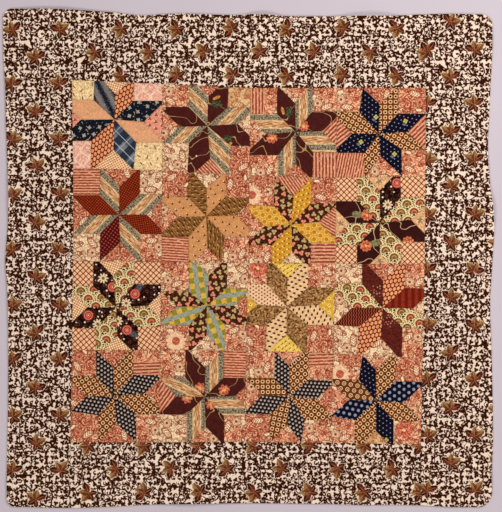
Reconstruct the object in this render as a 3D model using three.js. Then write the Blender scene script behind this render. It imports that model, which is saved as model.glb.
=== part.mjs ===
// Pieced cotton table cover: sixteen eight-point star blocks set edge to edge, four by four, inside four
// printed border strips with a narrow hem. It lies face up, flat where it touches, with its edges a little
// wavy and lifted. Millimetres, +Z up, the top of the cover towards +Y, origin under its middle at the base.
import * as THREE from 'three';

// Driving sizes
const coverWidth = 899;
const coverLength = 914;
const clothThickness = 1.6; // one layer with the seam allowances folded under it
const hemWidth = 8;
const hemExtra = 0.8; // how much the folded hem stands above the cloth beside it
const hemSlope = 2.5; // from the hem's step down to the plain cloth
const seamGap = 0.3; // left between pieces

// Where the seams that run across the cover meet the seams that run its length, from the top seam down.
// Each row is one cross seam, and its columns go from the left border to the right border.
const crossSeams = [
  { seam: 'top', x: [-323, -158, 4, 162, 325], y: [327, 319, 312, 312, 312] },
  { seam: 'first', x: [-321, -158, 2, 161, 324], y: [165, 161, 152, 147, 151] },
  { seam: 'second', x: [-321, -159, 0, 159, 323], y: [-5, -7, -9, -10, -11] },
  { seam: 'third', x: [-323, -162, -4, 156, 319], y: [-168, -168, -169, -174, -183] },
  { seam: 'bottom', x: [-326, -164, -7, 149, 316], y: [-337, -337, -336, -338, -341] },
];

// Where the seams beside the top and bottom strips reach the outer edge
const stripEnds = { topLeft: -315, topRight: 330, bottomLeft: -328, bottomRight: 315 };

// How far each outer edge is drawn in from the full size, at places along it from its low end to its high end
const edges = {
  left: {
    along: [-415, -314, -232, -95, -49, 0, 61, 116, 180, 244, 308, 363, 418],
    drawnIn: [6.8, 8.6, 9.9, 9.3, 7.3, 4.6, 9.0, 10.4, 7.7, 5.7, 4.4, 1.3, 0],
  },
  right: {
    along: [-406, -333, -223, -150, -86, -12, 43, 88, 125, 162, 207, 253, 308, 363, 409],
    drawnIn: [4.2, 1.6, 2.9, 5.1, 6.8, 2.9, 0, 1.6, 6.0, 8.8, 10.8, 8.8, 6.4, 3.7, 2.9],
  },
  top: {
    along: [-391, -336, -290, -244, -198, -153, -112, -34, 16, 76, 168, 259, 314, 369, 415],
    drawnIn: [0, 1.1, 3.7, 7.1, 12.1, 9.7, 9.0, 11.4, 10.4, 13.5, 13.9, 13.2, 10.4, 9.2, 10.1],
  },
  bottom: {
    along: [-418, -372, -318, -263, -217, -180, -107, -25, 76, 149, 213, 250, 314, 369, 406],
    drawnIn: [1.8, 0.4, 0, 1.8, 4.0, 6.0, 7.0, 8.4, 8.1, 7.0, 5.1, 5.5, 4.6, 1.8, 1.5],
  },
};
const cornerRadius = { topLeft: 16, topRight: 21, bottomLeft: 16, bottomRight: 25 };

// Soft waves where the edge of the cloth stands off the table: middle, reach each way and height
const waves = [
  { x: 25, y: 450, reachX: 48, reachY: 62, height: 6 },
  { x: 213, y: 446, reachX: 74, reachY: 70, height: 8 },
  { x: -352, y: 458, reachX: 96, reachY: 48, height: 3.5 },
  { x: 450, y: 84, reachX: 60, reachY: 66, height: 6 },
  { x: 452, y: 392, reachX: 40, reachY: 56, height: 3 },
  { x: -446, y: 120, reachX: 44, reachY: 70, height: 2.5 },
  { x: -90, y: -452, reachX: 90, reachY: 40, height: 2 },
  { x: 446, y: -428, reachX: 52, reachY: 60, height: 2.5 },
];

// How finely each piece is divided
const blockSteps = 5;
const stripSteps = 4; // along one block of a side strip
const endStripSteps = 5; // along one block of the top or bottom strip
const edgeShares = [0, 0.012, 0.035, 0.066, 0.09, 0.14, 0.26, 0.5, 0.75, 1]; // across a strip from its edge

// The chief colour of each block, row by row from the top
const blockColours = [
  [0xc98a62, 0x6a4038, 0x7b5a4c, 0x4a3a3c],
  [0x9a3b2c, 0x99683f, 0xb4823a, 0xa98662],
  [0xa37a62, 0x9a8a62, 0xa3845c, 0x9a4a34],
  [0x5f4a42, 0x7a5348, 0x64503f, 0x57484a],
];
const borderColour = 0x8d735f;

// A smooth line through the values of a table, level beyond its ends
function smoothValue(places, values, at) {
  const last = places.length - 1;
  if (at <= places[0]) return values[0];
  if (at >= places[last]) return values[last];
  const i = places.findIndex((place) => place > at) - 1;
  const slope = (k) => {
    if (k === 0 || k === last) return 0;
    return (values[k + 1] - values[k - 1]) / (places[k + 1] - places[k - 1]);
  };
  const span = places[i + 1] - places[i];
  const t = (at - places[i]) / span;
  const rise = t * t * (3 - 2 * t);
  const lead = t * (1 - t) * (1 - t) * span * slope(i);
  const tail = t * t * (1 - t) * span * slope(i + 1);
  return values[i] + (values[i + 1] - values[i]) * rise + lead - tail;
}

// Distance of an outer edge from the middle of the cover, before its corners are rounded
function reachOf(side, along) {
  const half = side === 'left' || side === 'right' ? coverWidth / 2 : coverLength / 2;
  return half - smoothValue(edges[side].along, edges[side].drawnIn, along);
}

// A corner of the cover as it would be if it were sharp
function sharpCorner(name) {
  const side = name.endsWith('Left') ? 'left' : 'right';
  const end = name.startsWith('top') ? 'top' : 'bottom';
  const x = (side === 'left' ? -1 : 1) * reachOf(side, end === 'top' ? coverLength : -coverLength);
  const y = (end === 'top' ? 1 : -1) * reachOf(end, side === 'left' ? -coverWidth : coverWidth);
  return { x, y, radius: cornerRadius[name] };
}
const corners = Object.fromEntries(Object.keys(cornerRadius).map((name) => [name, sharpCorner(name)]));

// What a rounded corner takes off an edge, at a distance from the sharp corner
function roundedOff(radius, distance) {
  const short = THREE.MathUtils.clamp(radius - distance, 0, radius);
  return radius - Math.sqrt(radius * radius - short * short);
}

// A point of the left or right edge at a height y
function sidePoint(side, y) {
  const sign = side === 'left' ? -1 : 1;
  const upper = corners[side === 'left' ? 'topLeft' : 'topRight'];
  const lower = corners[side === 'left' ? 'bottomLeft' : 'bottomRight'];
  const off = roundedOff(upper.radius, upper.y - y) + roundedOff(lower.radius, y - lower.y);
  return [sign * (reachOf(side, y) - off), y];
}

// A point of the top or bottom edge at a place x
function endPoint(end, x) {
  const sign = end === 'bottom' ? -1 : 1;
  const leftCorner = corners[end === 'top' ? 'topLeft' : 'bottomLeft'];
  const rightCorner = corners[end === 'top' ? 'topRight' : 'bottomRight'];
  const off = roundedOff(leftCorner.radius, x - leftCorner.x) + roundedOff(rightCorner.radius, rightCorner.x - x);
  return [x, sign * (reachOf(end, x) - off)];
}

// Height of the underside above the table
function lift(x, y) {
  let height = 0;
  for (const wave of waves) {
    const away = Math.hypot((x - wave.x) / wave.reachX, (y - wave.y) / wave.reachY);
    if (away < 1) height += wave.height * Math.cos(away * Math.PI / 2) ** 2;
  }
  return height;
}

// Thickness of the cloth, with the folded hem along the outer edge
function thickness(x, y) {
  const fromEdge = Math.min(
    reachOf('left', y) + x,
    reachOf('right', y) - x,
    reachOf('top', x) - y,
    reachOf('bottom', x) + y,
  );
  const stepDown = THREE.MathUtils.smoothstep(fromEdge, hemWidth, hemWidth + hemSlope);
  return clothThickness + hemExtra * (1 - stepDown);
}

// A line of straight stretches through points, for t from 0 to 1 with as much of t for each stretch
function brokenLine(points) {
  return (t) => {
    const place = t * (points.length - 1);
    const i = Math.min(Math.floor(place), points.length - 2);
    const [a, b] = [points[i], points[i + 1]];
    const share = place - i;
    return [a[0] + (b[0] - a[0]) * share, a[1] + (b[1] - a[1]) * share];
  };
}

// An outer edge as such a line's partner: it passes the same places along the edge as the seam does
function edgeLine(pointAt, places) {
  const along = brokenLine(places.map((place) => [place, 0]));
  return (t) => pointAt(along(t)[0]);
}

// A piece of the cover between its four boundaries, for u from left to right and v from low to high
function piece(left, right, bottom, top) {
  return (u, v) => [0, 1].map((axis) => {
    const between = (1 - u) * left(v)[axis] + u * right(v)[axis] + (1 - v) * bottom(u)[axis] + v * top(u)[axis];
    const low = (1 - u) * bottom(0)[axis] + u * bottom(1)[axis];
    const high = (1 - u) * top(0)[axis] + u * top(1)[axis];
    return between - (1 - v) * low - v * high;
  });
}

// Shares from 0 to 1, pulled in by half a seam gap at the ends that are seams
function trimmed(shares, size, seamAtStart, seamAtEnd) {
  const trim = seamGap / 2 / size;
  const start = seamAtStart ? trim : 0;
  const end = seamAtEnd ? 1 - trim : 1;
  return shares.map((share) => start + share * (end - start));
}

const even = (count) => Array.from({ length: count + 1 }, (_, i) => i / count);
const reversed = (shares) => shares.map((share) => 1 - share).reverse();

// Shares along a strip of several stretches: each stretch has its own list of shares
function alongStretches(lists) {
  const shares = [0];
  lists.forEach((list, i) => {
    for (const share of list.slice(1)) shares.push((i + share) / lists.length);
  });
  return shares;
}

// A closed sheet over a piece: its upper face, its underside and the wall around them
function sheet(place, across, along) {
  const columns = across.length;
  const rows = along.length;
  const positions = [];
  for (const upper of [true, false]) {
    for (const v of along) {
      for (const u of across) {
        const [x, y] = place(u, v);
        positions.push(x, y, lift(x, y) + (upper ? thickness(x, y) : 0));
      }
    }
  }
  const under = columns * rows;
  const at = (i, j) => j * columns + i;
  const triangles = [];
  for (let j = 0; j < rows - 1; j += 1) {
    for (let i = 0; i < columns - 1; i += 1) {
      const [a, b, c, d] = [at(i, j), at(i + 1, j), at(i + 1, j + 1), at(i, j + 1)];
      triangles.push(a, b, c, a, c, d);
      triangles.push(under + a, under + c, under + b, under + a, under + d, under + c);
    }
  }
  const rim = [];
  for (let i = 0; i < columns - 1; i += 1) rim.push(at(i, 0));
  for (let j = 0; j < rows - 1; j += 1) rim.push(at(columns - 1, j));
  for (let i = columns - 1; i > 0; i -= 1) rim.push(at(i, rows - 1));
  for (let j = rows - 1; j > 0; j -= 1) rim.push(at(0, j));
  rim.forEach((a, k) => {
    const b = rim[(k + 1) % rim.length];
    triangles.push(under + a, under + b, b, under + a, b, a);
  });
  const geometry = new THREE.BufferGeometry();
  geometry.setAttribute('position', new THREE.Float32BufferAttribute(positions, 3));
  geometry.setIndex(triangles);
  geometry.computeVertexNormals();
  return geometry;
}

const cover = new THREE.Group();

function addPiece(name, colour, geometry) {
  const cloth = new THREE.MeshStandardMaterial({ color: colour, roughness: 0.92, metalness: 0 });
  const mesh = new THREE.Mesh(geometry, cloth);
  mesh.name = name;
  cover.add(mesh);
}

const crossing = (row, column) => [crossSeams[row].x[column], crossSeams[row].y[column]];
const blockRows = crossSeams.length - 1;
const blockColumns = crossSeams[0].x.length - 1;
const blockSize = (crossSeams[0].x[blockColumns] - crossSeams[0].x[0]) / blockColumns;

// The sixteen star blocks
for (let row = 0; row < blockRows; row += 1) {
  for (let column = 0; column < blockColumns; column += 1) {
    const [topLeft, topRight] = [crossing(row, column), crossing(row, column + 1)];
    const [bottomLeft, bottomRight] = [crossing(row + 1, column), crossing(row + 1, column + 1)];
    const place = piece(
      brokenLine([bottomLeft, topLeft]),
      brokenLine([bottomRight, topRight]),
      brokenLine([bottomLeft, bottomRight]),
      brokenLine([topLeft, topRight]),
    );
    const shares = trimmed(even(blockSteps), blockSize, true, true);
    addPiece(`block_${row + 1}_${column + 1}`, blockColours[row][column], sheet(place, shares, shares));
  }
}

// The side strips run the whole length of the cover
function sideStrip(side) {
  const onLeft = side === 'left';
  const column = onLeft ? 0 : blockColumns;
  const [upper, lower] = onLeft ? [corners.topLeft, corners.bottomLeft] : [corners.topRight, corners.bottomRight];
  const [topX, bottomX] = onLeft
    ? [stripEnds.topLeft, stripEnds.bottomLeft]
    : [stripEnds.topRight, stripEnds.bottomRight];
  const turn = 1 - Math.SQRT1_2; // share of a corner's radius at the middle of its arc
  const seamPoints = crossSeams.map((row, i) => crossing(i, column)).reverse();
  const seam = brokenLine([endPoint('bottom', bottomX), ...seamPoints, endPoint('top', topX)]);
  const lowY = lower.y + turn * lower.radius;
  const highY = upper.y - turn * upper.radius;
  const edge = edgeLine((y) => sidePoint(side, y), [lowY, ...seamPoints.map((point) => point[1]), highY]);
  const sign = onLeft ? 1 : -1;
  const lowX = lower.x + sign * turn * lower.radius;
  const highX = upper.x + sign * turn * upper.radius;
  const acrossEnd = (end, edgeX, seamX) => {
    const places = onLeft ? [edgeX, seamX] : [seamX, edgeX];
    return edgeLine((x) => endPoint(end, x), places);
  };
  const place = piece(
    onLeft ? edge : seam,
    onLeft ? seam : edge,
    acrossEnd('bottom', lowX, bottomX),
    acrossEnd('top', highX, topX),
  );
  const stripWidth = coverWidth / 2 - Math.abs(crossSeams[0].x[column]);
  const across = trimmed(onLeft ? edgeShares : reversed(edgeShares), stripWidth, !onLeft, onLeft);
  const middle = Array.from({ length: blockRows }, () => even(stripSteps));
  const along = alongStretches([edgeShares, ...middle, reversed(edgeShares)]);
  return sheet(place, across, along);
}
addPiece('border_left', borderColour, sideStrip('left'));
addPiece('border_right', borderColour, sideStrip('right'));

// The top and bottom strips lie between the side strips
function endStrip(end) {
  const onTop = end === 'top';
  const row = onTop ? 0 : blockRows;
  const [leftX, rightX] = onTop
    ? [stripEnds.topLeft, stripEnds.topRight]
    : [stripEnds.bottomLeft, stripEnds.bottomRight];
  const seamPoints = crossSeams[row].x.map((x, column) => crossing(row, column));
  const seam = brokenLine(seamPoints);
  const innerX = crossSeams[row].x.slice(1, -1);
  const edge = edgeLine((x) => endPoint(end, x), [leftX, ...innerX, rightX]);
  const [leftOuter, rightOuter] = [endPoint(end, leftX), endPoint(end, rightX)];
  const [leftInner, rightInner] = [seamPoints[0], seamPoints[blockColumns]];
  const place = piece(
    brokenLine(onTop ? [leftInner, leftOuter] : [leftOuter, leftInner]),
    brokenLine(onTop ? [rightInner, rightOuter] : [rightOuter, rightInner]),
    onTop ? seam : edge,
    onTop ? edge : seam,
  );
  const stripWidth = coverLength / 2 - Math.abs(crossSeams[row].y[0]);
  const stretches = Array.from({ length: blockColumns }, () => even(endStripSteps));
  const across = trimmed(alongStretches(stretches), blockSize * blockColumns, true, true);
  const along = trimmed(onTop ? reversed(edgeShares) : edgeShares, stripWidth, onTop, !onTop);
  return sheet(place, across, along);
}
addPiece('border_top', borderColour, endStrip('top'));
addPiece('border_bottom', borderColour, endStrip('bottom'));

export default cover;
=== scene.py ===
import math

import bpy
import numpy as np
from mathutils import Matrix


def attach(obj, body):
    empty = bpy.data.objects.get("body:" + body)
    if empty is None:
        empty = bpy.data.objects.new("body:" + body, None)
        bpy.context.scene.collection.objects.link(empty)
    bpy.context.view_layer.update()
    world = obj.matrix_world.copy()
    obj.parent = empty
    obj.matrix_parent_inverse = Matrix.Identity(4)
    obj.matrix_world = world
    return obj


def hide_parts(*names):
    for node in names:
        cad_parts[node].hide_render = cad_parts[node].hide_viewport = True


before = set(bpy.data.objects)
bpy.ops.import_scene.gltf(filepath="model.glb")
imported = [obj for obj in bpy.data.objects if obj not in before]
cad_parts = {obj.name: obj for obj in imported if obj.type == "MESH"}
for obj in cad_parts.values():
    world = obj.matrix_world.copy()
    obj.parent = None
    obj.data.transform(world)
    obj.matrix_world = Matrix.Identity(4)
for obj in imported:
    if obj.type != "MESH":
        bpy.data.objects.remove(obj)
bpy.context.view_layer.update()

bpy.ops.object.select_all(action="DESELECT")
print("frame loaded")

# Star points below are pixel places in the 502 x 512 photo, and these turn them into the cover's own metres
pixelSize = 0.001831
pixelMiddle = (248.4, 258.3)

cover = {
    "width": 0.899,
    "length": 0.914,
    "thickness": 0.0016,
    "hemWidth": 0.008,
    "hemExtra": 0.0008,
    "hemSlope": 0.0025,
    "edgeRoll": 0.0014,  # how far in the folded edge is rounded
    "settle": 0.0007,  # how much the cloth stands off the table where it isn't quite flat
    "ripple": 0.00022,
}
sewing = {
    "valleyDepth": 0.0005,
    "valleyWidth": 0.0011,
    "allowance": 0.0055,  # the turned-under cloth on one side of a seam
    "allowanceHeight": 0.00035,
    "pucker": 0.00016,
    "puckerReach": 0.006,
}

# Where the cross seams meet the long seams, in millimetres, from the top row down and from left to right
crossSeams = [
    {"x": (-323, -158, 4, 162, 325), "y": (327, 319, 312, 312, 312)},
    {"x": (-321, -158, 2, 161, 324), "y": (165, 161, 152, 147, 151)},
    {"x": (-321, -159, 0, 159, 323), "y": (-5, -7, -9, -10, -11)},
    {"x": (-323, -162, -4, 156, 319), "y": (-168, -168, -169, -174, -183)},
    {"x": (-326, -164, -7, 149, 316), "y": (-337, -337, -336, -338, -341)},
]
stripEnds = {"topLeft": -315, "topRight": 330, "bottomLeft": -328, "bottomRight": 315}
edges = {
    "left": {
        "along": (-415, -314, -232, -95, -49, 0, 61, 116, 180, 244, 308, 363, 418),
        "drawnIn": (6.8, 8.6, 9.9, 9.3, 7.3, 4.6, 9.0, 10.4, 7.7, 5.7, 4.4, 1.3, 0),
    },
    "right": {
        "along": (-406, -333, -223, -150, -86, -12, 43, 88, 125, 162, 207, 253, 308, 363, 409),
        "drawnIn": (4.2, 1.6, 2.9, 5.1, 6.8, 2.9, 0, 1.6, 6.0, 8.8, 10.8, 8.8, 6.4, 3.7, 2.9),
    },
    "top": {
        "along": (-391, -336, -290, -244, -198, -153, -112, -34, 16, 76, 168, 259, 314, 369, 415),
        "drawnIn": (0, 1.1, 3.7, 7.1, 12.1, 9.7, 9.0, 11.4, 10.4, 13.5, 13.9, 13.2, 10.4, 9.2, 10.1),
    },
    "bottom": {
        "along": (-418, -372, -318, -263, -217, -180, -107, -25, 76, 149, 213, 250, 314, 369, 406),
        "drawnIn": (1.8, 0.4, 0, 1.8, 4.0, 6.0, 7.0, 8.4, 8.1, 7.0, 5.1, 5.5, 4.6, 1.8, 1.5),
    },
}
cornerRadius = {"topLeft": 16, "topRight": 21, "bottomLeft": 16, "bottomRight": 25}
# Soft waves where the edge stands off the table: middle, reach each way and height, in millimetres
waves = (
    (25, 450, 48, 62, 6),
    (213, 446, 74, 70, 8),
    (-352, 458, 96, 48, 3.5),
    (450, 84, 60, 66, 6),
    (452, 392, 40, 56, 3),
    (-446, 120, 44, 70, 2.5),
    (-90, -452, 90, 40, 2),
    (446, -428, 52, 60, 2.5),
)


def fromPixel(place):
    return ((place[0] - pixelMiddle[0]) * pixelSize, (pixelMiddle[1] - place[1]) * pixelSize)


def smoothValue(places, values, at):
    places = np.array(places, float) / 1000
    values = np.array(values, float) / 1000
    slopes = np.zeros(len(places))
    slopes[1:-1] = (values[2:] - values[:-2]) / (places[2:] - places[:-2])
    at = np.clip(at, places[0], places[-1])
    i = np.clip(np.searchsorted(places, at, side="right") - 1, 0, len(places) - 2)
    span = places[i + 1] - places[i]
    t = (at - places[i]) / span
    rise = (values[i + 1] - values[i]) * t * t * (3 - 2 * t)
    return values[i] + rise + span * t * (1 - t) * ((1 - t) * slopes[i] - t * slopes[i + 1])


def reachOf(side, along):
    half = cover["width"] / 2 if side in ("left", "right") else cover["length"] / 2
    return half - smoothValue(edges[side]["along"], edges[side]["drawnIn"], along)


def sharpCorner(name):
    side = "left" if name.endswith("Left") else "right"
    end = "top" if name.startswith("top") else "bottom"
    x = reachOf(side, 1.0 if end == "top" else -1.0) * (-1 if side == "left" else 1)
    y = reachOf(end, -1.0 if side == "left" else 1.0) * (1 if end == "top" else -1)
    return {"x": float(x), "y": float(y), "radius": cornerRadius[name] / 1000}


corners = {name: sharpCorner(name) for name in cornerRadius}


def roundedOff(radius, distance):
    short = np.clip(radius - distance, 0, radius)
    return radius - np.sqrt(radius * radius - short * short)


def sidePoint(side, y):
    sign = -1 if side == "left" else 1
    upper = corners["topLeft" if side == "left" else "topRight"]
    lower = corners["bottomLeft" if side == "left" else "bottomRight"]
    off = roundedOff(upper["radius"], upper["y"] - y) + roundedOff(lower["radius"], y - lower["y"])
    return np.array([sign * (reachOf(side, y) - off), y])


def endPoint(end, x):
    sign = -1 if end == "bottom" else 1
    left = corners["topLeft" if end == "top" else "bottomLeft"]
    right = corners["topRight" if end == "top" else "bottomRight"]
    off = roundedOff(left["radius"], x - left["x"]) + roundedOff(right["radius"], right["x"] - x)
    return np.array([x, sign * (reachOf(end, x) - off)])


def smoothStep(low, high, value):
    t = np.clip((value - low) / (high - low), 0, 1)
    return t * t * (3 - 2 * t)


def lift(x, y):
    height = np.zeros_like(x)
    for waveX, waveY, reachX, reachY, top in waves:
        away = np.hypot((x - waveX / 1000) / (reachX / 1000), (y - waveY / 1000) / (reachY / 1000))
        height += np.where(away < 1, top / 1000 * np.cos(np.minimum(away, 1) * math.pi / 2) ** 2, 0)
    return height


def fromEdge(x, y):
    toSides = [reachOf("left", y) + x, reachOf("right", y) - x]
    toEnds = [reachOf("top", x) - y, reachOf("bottom", x) + y]
    distance = np.minimum(np.minimum(*toSides), np.minimum(*toEnds))
    for name, corner in corners.items():
        across = toSides[0 if name.endswith("Left") else 1]
        along = toEnds[0 if name.startswith("top") else 1]
        radius = corner["radius"]
        inCorner = (across < radius) & (along < radius)
        arc = radius - np.hypot(radius - across, radius - along)
        distance = np.where(inCorner, np.minimum(distance, arc), distance)
    return np.maximum(distance, 0)


def softNoise(x, y, size, seed):
    numbers = np.random.default_rng(seed)
    total = np.zeros_like(x)
    for _ in range(7):
        angle, phase = numbers.uniform(0, 2 * math.pi, 2)
        wave = 2 * math.pi / (size * numbers.uniform(0.7, 1.5))
        total += np.sin((x * math.cos(angle) + y * math.sin(angle)) * wave + phase)
    return total / 3.7


def seamRelief(x, y, seams):
    nearest = np.full_like(x, 1.0)
    raised = np.zeros_like(x)
    reach = 0.012
    for (startX, startY), (endX, endY) in seams:
        close = (x > min(startX, endX) - reach) & (x < max(startX, endX) + reach)
        close = np.nonzero(close & (y > min(startY, endY) - reach) & (y < max(startY, endY) + reach))[0]
        fromX, fromY = x[close] - startX, y[close] - startY
        lengthX, lengthY = endX - startX, endY - startY
        share = np.clip((fromX * lengthX + fromY * lengthY) / (lengthX**2 + lengthY**2), 0, 1)
        away = np.hypot(fromX - share * lengthX, fromY - share * lengthY)
        nearest[close] = np.minimum(nearest[close], away)
        shoulder = 1 - smoothStep(sewing["allowance"] * 0.75, sewing["allowance"] * 1.15, away)
        under = np.where(fromX * lengthY - fromY * lengthX >= 0, shoulder, 0)
        raised[close] = np.maximum(raised[close], under)
    valley = sewing["valleyDepth"] * np.exp(-((nearest / sewing["valleyWidth"]) ** 2))
    pull = np.exp(-nearest / sewing["puckerReach"]) * sewing["pucker"] * softNoise(x, y, 0.0075, 5)
    # a weight that falls off away from the nearest seam, used only for the painted shade along the seam
    # crease
    paintedShadeNearSeam = np.exp(-((nearest / (1.3 * sewing["valleyWidth"])) ** 2))
    return raised * sewing["allowanceHeight"] - valley + pull, paintedShadeNearSeam


def sheetHeights(x, y, seams):
    settle = cover["settle"] * np.clip(softNoise(x, y, 0.11, 3) + 0.3, 0, 1.5)
    under = lift(x, y) + settle
    relief, paintedShadeNearSeam = seamRelief(x, y, seams)
    distance = fromEdge(x, y)
    inside = smoothStep(cover["hemWidth"], cover["hemWidth"] + cover["hemSlope"], distance)
    hem = cover["hemExtra"] * (1 - inside)
    ripple = cover["ripple"] * softNoise(x, y, 0.034, 8)
    thick = cover["thickness"] + hem + relief + ripple
    roll = 1 - np.clip(distance / cover["edgeRoll"], 0.02, 1)
    curve = np.sqrt(1 - roll**2)
    middle = under + thick / 2
    return middle + thick / 2 * curve, middle - thick / 2 * curve, paintedShadeNearSeam


print("cover's own sizes ready")

# The sewn patches. Each block has its centre, the inner corners of its corner squares (top left, top right,
# bottom right, bottom left) and the points of its side triangles (top, right, bottom, left), in photo pixels.
starPoints = {
    (1, 1): ((114.5, 119.5), ((93.4, 99.7), (133.4, 100.8), (136.2, 142.4), (91.2, 140.8)),
             ((115.3, 94.1), (144, 121.9), (113.4, 149.7), (80.7, 119.7))),
    (1, 2): ((207.4, 125.8), ((188.6, 106.9), (227.7, 107.4), (230.8, 145.8), (189.1, 143)),
             ((208, 97), (238, 124.1), (210.2, 158.6), (179.7, 126.9))),
    (1, 3): ((295.9, 131.9), ((277, 114.1), (312.6, 111.3), (313.1, 152.4), (278.1, 155.2)),
             ((294.8, 102.8), (322.6, 131.3), (296.1, 163.6), (265.9, 134.1))),
    (1, 4): ((378.8, 133.6), ((359.3, 111.9), (398.2, 113.6), (401.6, 149.7), (364.3, 153)),
             ((379.9, 104.1), (407.7, 131.9), (380.4, 155.8), (352.1, 133.6))),
    (2, 1): ((119, 214.7), ((99.6, 195.2), (139.6, 194.1), (140.7, 234.1), (100.1, 233.6)),
             ((119.6, 186.9), (146.8, 214.7), (120.1, 242.4), (91.2, 215.2))),
    (2, 2): ((206.3, 216.3), ((187.4, 196.9), (224.7, 197.4), (224.7, 236.3), (188.6, 236.9)),
             ((206.9, 188), (236.3, 215.2), (207.4, 247.4), (178, 216.9))),
    (2, 3): ((291.4, 224.7), ((273.7, 205.8), (310.9, 203), (310.9, 243), (272, 245.2)),
             ((293.3, 196.3), (318.7, 221.9), (292, 251.9), (264.2, 226.3))),
    (2, 4): ((379.9, 223), ((357.7, 201.3), (401, 197.4), (401.6, 241.9), (357.1, 245.2)),
             ((379.9, 190.2), (411, 219.7), (379.9, 254.1), (349.3, 223))),
    (3, 1): ((116.2, 307.3), ((93.1, 286.2), (134, 284), (137.9, 326.8), (95.7, 328.4)),
             ((112.9, 275.7), (147.9, 305.7), (117.3, 336.2), (87.3, 307.3))),
    (3, 2): ((206.9, 306), ((188.6, 291.5), (226.9, 288.4), (225.2, 324.6), (189.1, 325.1)),
             ((209.1, 275.1), (234.1, 305.7), (206.9, 335.1), (176.9, 306.8))),
    (3, 3): ((287, 306.8), ((267, 284), (308.1, 287.3), (307.6, 325.1), (266.4, 325.1)),
             ((287.6, 277.9), (318.7, 305.1), (286.4, 334.6), (257, 304.6))),
    (3, 4): ((382.7, 307.9), ((362.1, 284), (405.4, 287.9), (402.7, 327.9), (358.8, 326.8)),
             ((383.2, 280.7), (413.2, 308.4), (381, 337.9), (352.1, 307.9))),
    (4, 1): ((114.6, 396.4), ((96.2, 376.4), (133.4, 374.8), (136.2, 414.2), (98.4, 415.3)),
             ((112.9, 367), (145.1, 393.1), (116.2, 423.1), (86.2, 396.4))),
    (4, 2): ((204.7, 397), ((185.2, 377.6), (223.6, 377.6), (224.1, 416.4), (186.3, 414.8)),
             ((205.2, 367.6), (235.2, 395.9), (205.8, 427), (176.9, 396.4))),
    (4, 3): ((289.8, 396.4), ((274.2, 378.1), (308.1, 379.8), (304.8, 419.8), (270.3, 414.2)),
             ((289.2, 365.9), (316.4, 399.2), (287.6, 424.8), (262, 395.3))),
    (4, 4): ((376, 400.9), ((358.8, 379.8), (394.9, 381.4), (393.8, 420.9), (354.9, 420.3)),
             ((376, 370.3), (404.3, 402.6), (376, 430.9), (349.3, 399.8))),
}
# Star tips that don't stand straight out from their square: the tip's number, clockwise from the top left one
leaningTips = {
    (1, 1, 4): (133.5, 168),
    (1, 4, 0): (362.7, 87),
    (2, 2, 4): (221.3, 262),
    (3, 4, 4): (401.6, 357),
    (3, 4, 6): (332.7, 325),
    (4, 1, 6): (69.6, 411),
    (4, 3, 4): (301.4, 443),
    (4, 4, 0): (362.7, 354),
    (4, 4, 6): (332, 416),
}
patchwork = {
    "patches": 16,  # in a block
    "cuts": 19,  # how finely each patch is divided
    "shortestTip": 0.002,
}


def seamCrossing(row, column):
    return (crossSeams[row]["x"][column] / 1000, crossSeams[row]["y"][column] / 1000)


def starFaces(row, column):
    middle, squares, points = starPoints[(row, column)]
    middle = fromPixel(middle)
    inner = [fromPixel(place) for place in squares]
    apexes = [fromPixel(place) for place in points]
    around = [seamCrossing(row - 1, column - 1), seamCrossing(row - 1, column),
              seamCrossing(row, column), seamCrossing(row, column - 1)]
    faces, seams, tips = [], [], []
    for side in range(4):
        start, end = np.array(around[side]), np.array(around[(side + 1) % 4])
        length = np.linalg.norm(end - start)
        run = (end - start) / length

        def along(place):
            return float((np.array(place) - start) @ run)

        firstTip, lastTip = along(inner[side]), along(inner[(side + 1) % 4])
        if (row, column, 2 * side) in leaningTips:
            firstTip = along(fromPixel(leaningTips[(row, column, 2 * side)]))
        if (row, column, 2 * side + 1) in leaningTips:
            lastTip = along(fromPixel(leaningTips[(row, column, 2 * side + 1)]))
        apex = np.array(apexes[side])
        foot = along(apex)
        height = float(np.linalg.norm(apex - start - run * foot))
        firstBase, lastBase = foot - height, foot + height
        if firstBase < firstTip + patchwork["shortestTip"]:
            firstBase = firstTip
        if lastBase > lastTip - patchwork["shortestTip"]:
            lastBase = lastTip
        places = [tuple(start + run * value) for value in (firstTip, firstBase, lastBase, lastTip)]
        tips.append(places)
        one, two, point = inner[side], inner[(side + 1) % 4], apexes[side]
        faces.append((2 * side, (middle, one, places[1], point)))
        if firstBase != firstTip:
            faces.append((2 * side, (one, places[0], places[1])))
        faces.append((2 * side + 1, (middle, point, places[2], two)))
        if lastBase != lastTip:
            faces.append((2 * side + 1, (two, places[2], places[3])))
        faces.append((12 + side, (point, places[1], places[2])))
        seams += [(middle, one), (point, middle), (places[1], point), (point, places[2]),
                  (one, places[0]), (places[3], two)]
    for side in range(4):
        faces.append((8 + side, (inner[side], tips[side - 1][3], around[side], tips[side][0])))
    return faces, seams


def facingUp(corners2d):
    total = 0
    for (ax, ay), (bx, by) in zip(corners2d, corners2d[1:] + corners2d[:1]):
        total += ax * by - bx * ay
    return corners2d if total > 0 else corners2d[::-1]


print("star points ready")

lightLevel = 1.15  # the lamps light the cloth this much, so the dyes are charted this much darker


def dye(red, green, blue):
    channels = []
    for channel in (red, green, blue):
        share = channel / 255
        linear = share / 12.92 if share <= 0.04045 else ((share + 0.055) / 1.055) ** 2.4
        channels.append(linear / lightLevel)
    return (*channels, 1.0)


class Amount:  # what a shader node gives, so that sums of such amounts are written as plain sums
    def __init__(self, drawing, socket):
        self.drawing, self.socket = drawing, socket

    def __abs__(self):
        return self.drawing.calc("ABSOLUTE", self)

    def __neg__(self):
        return self * -1.0


def reckon(operation, turned):
    return lambda self, other: self.drawing.calc(operation, *((other, self) if turned else (self, other)))


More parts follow.
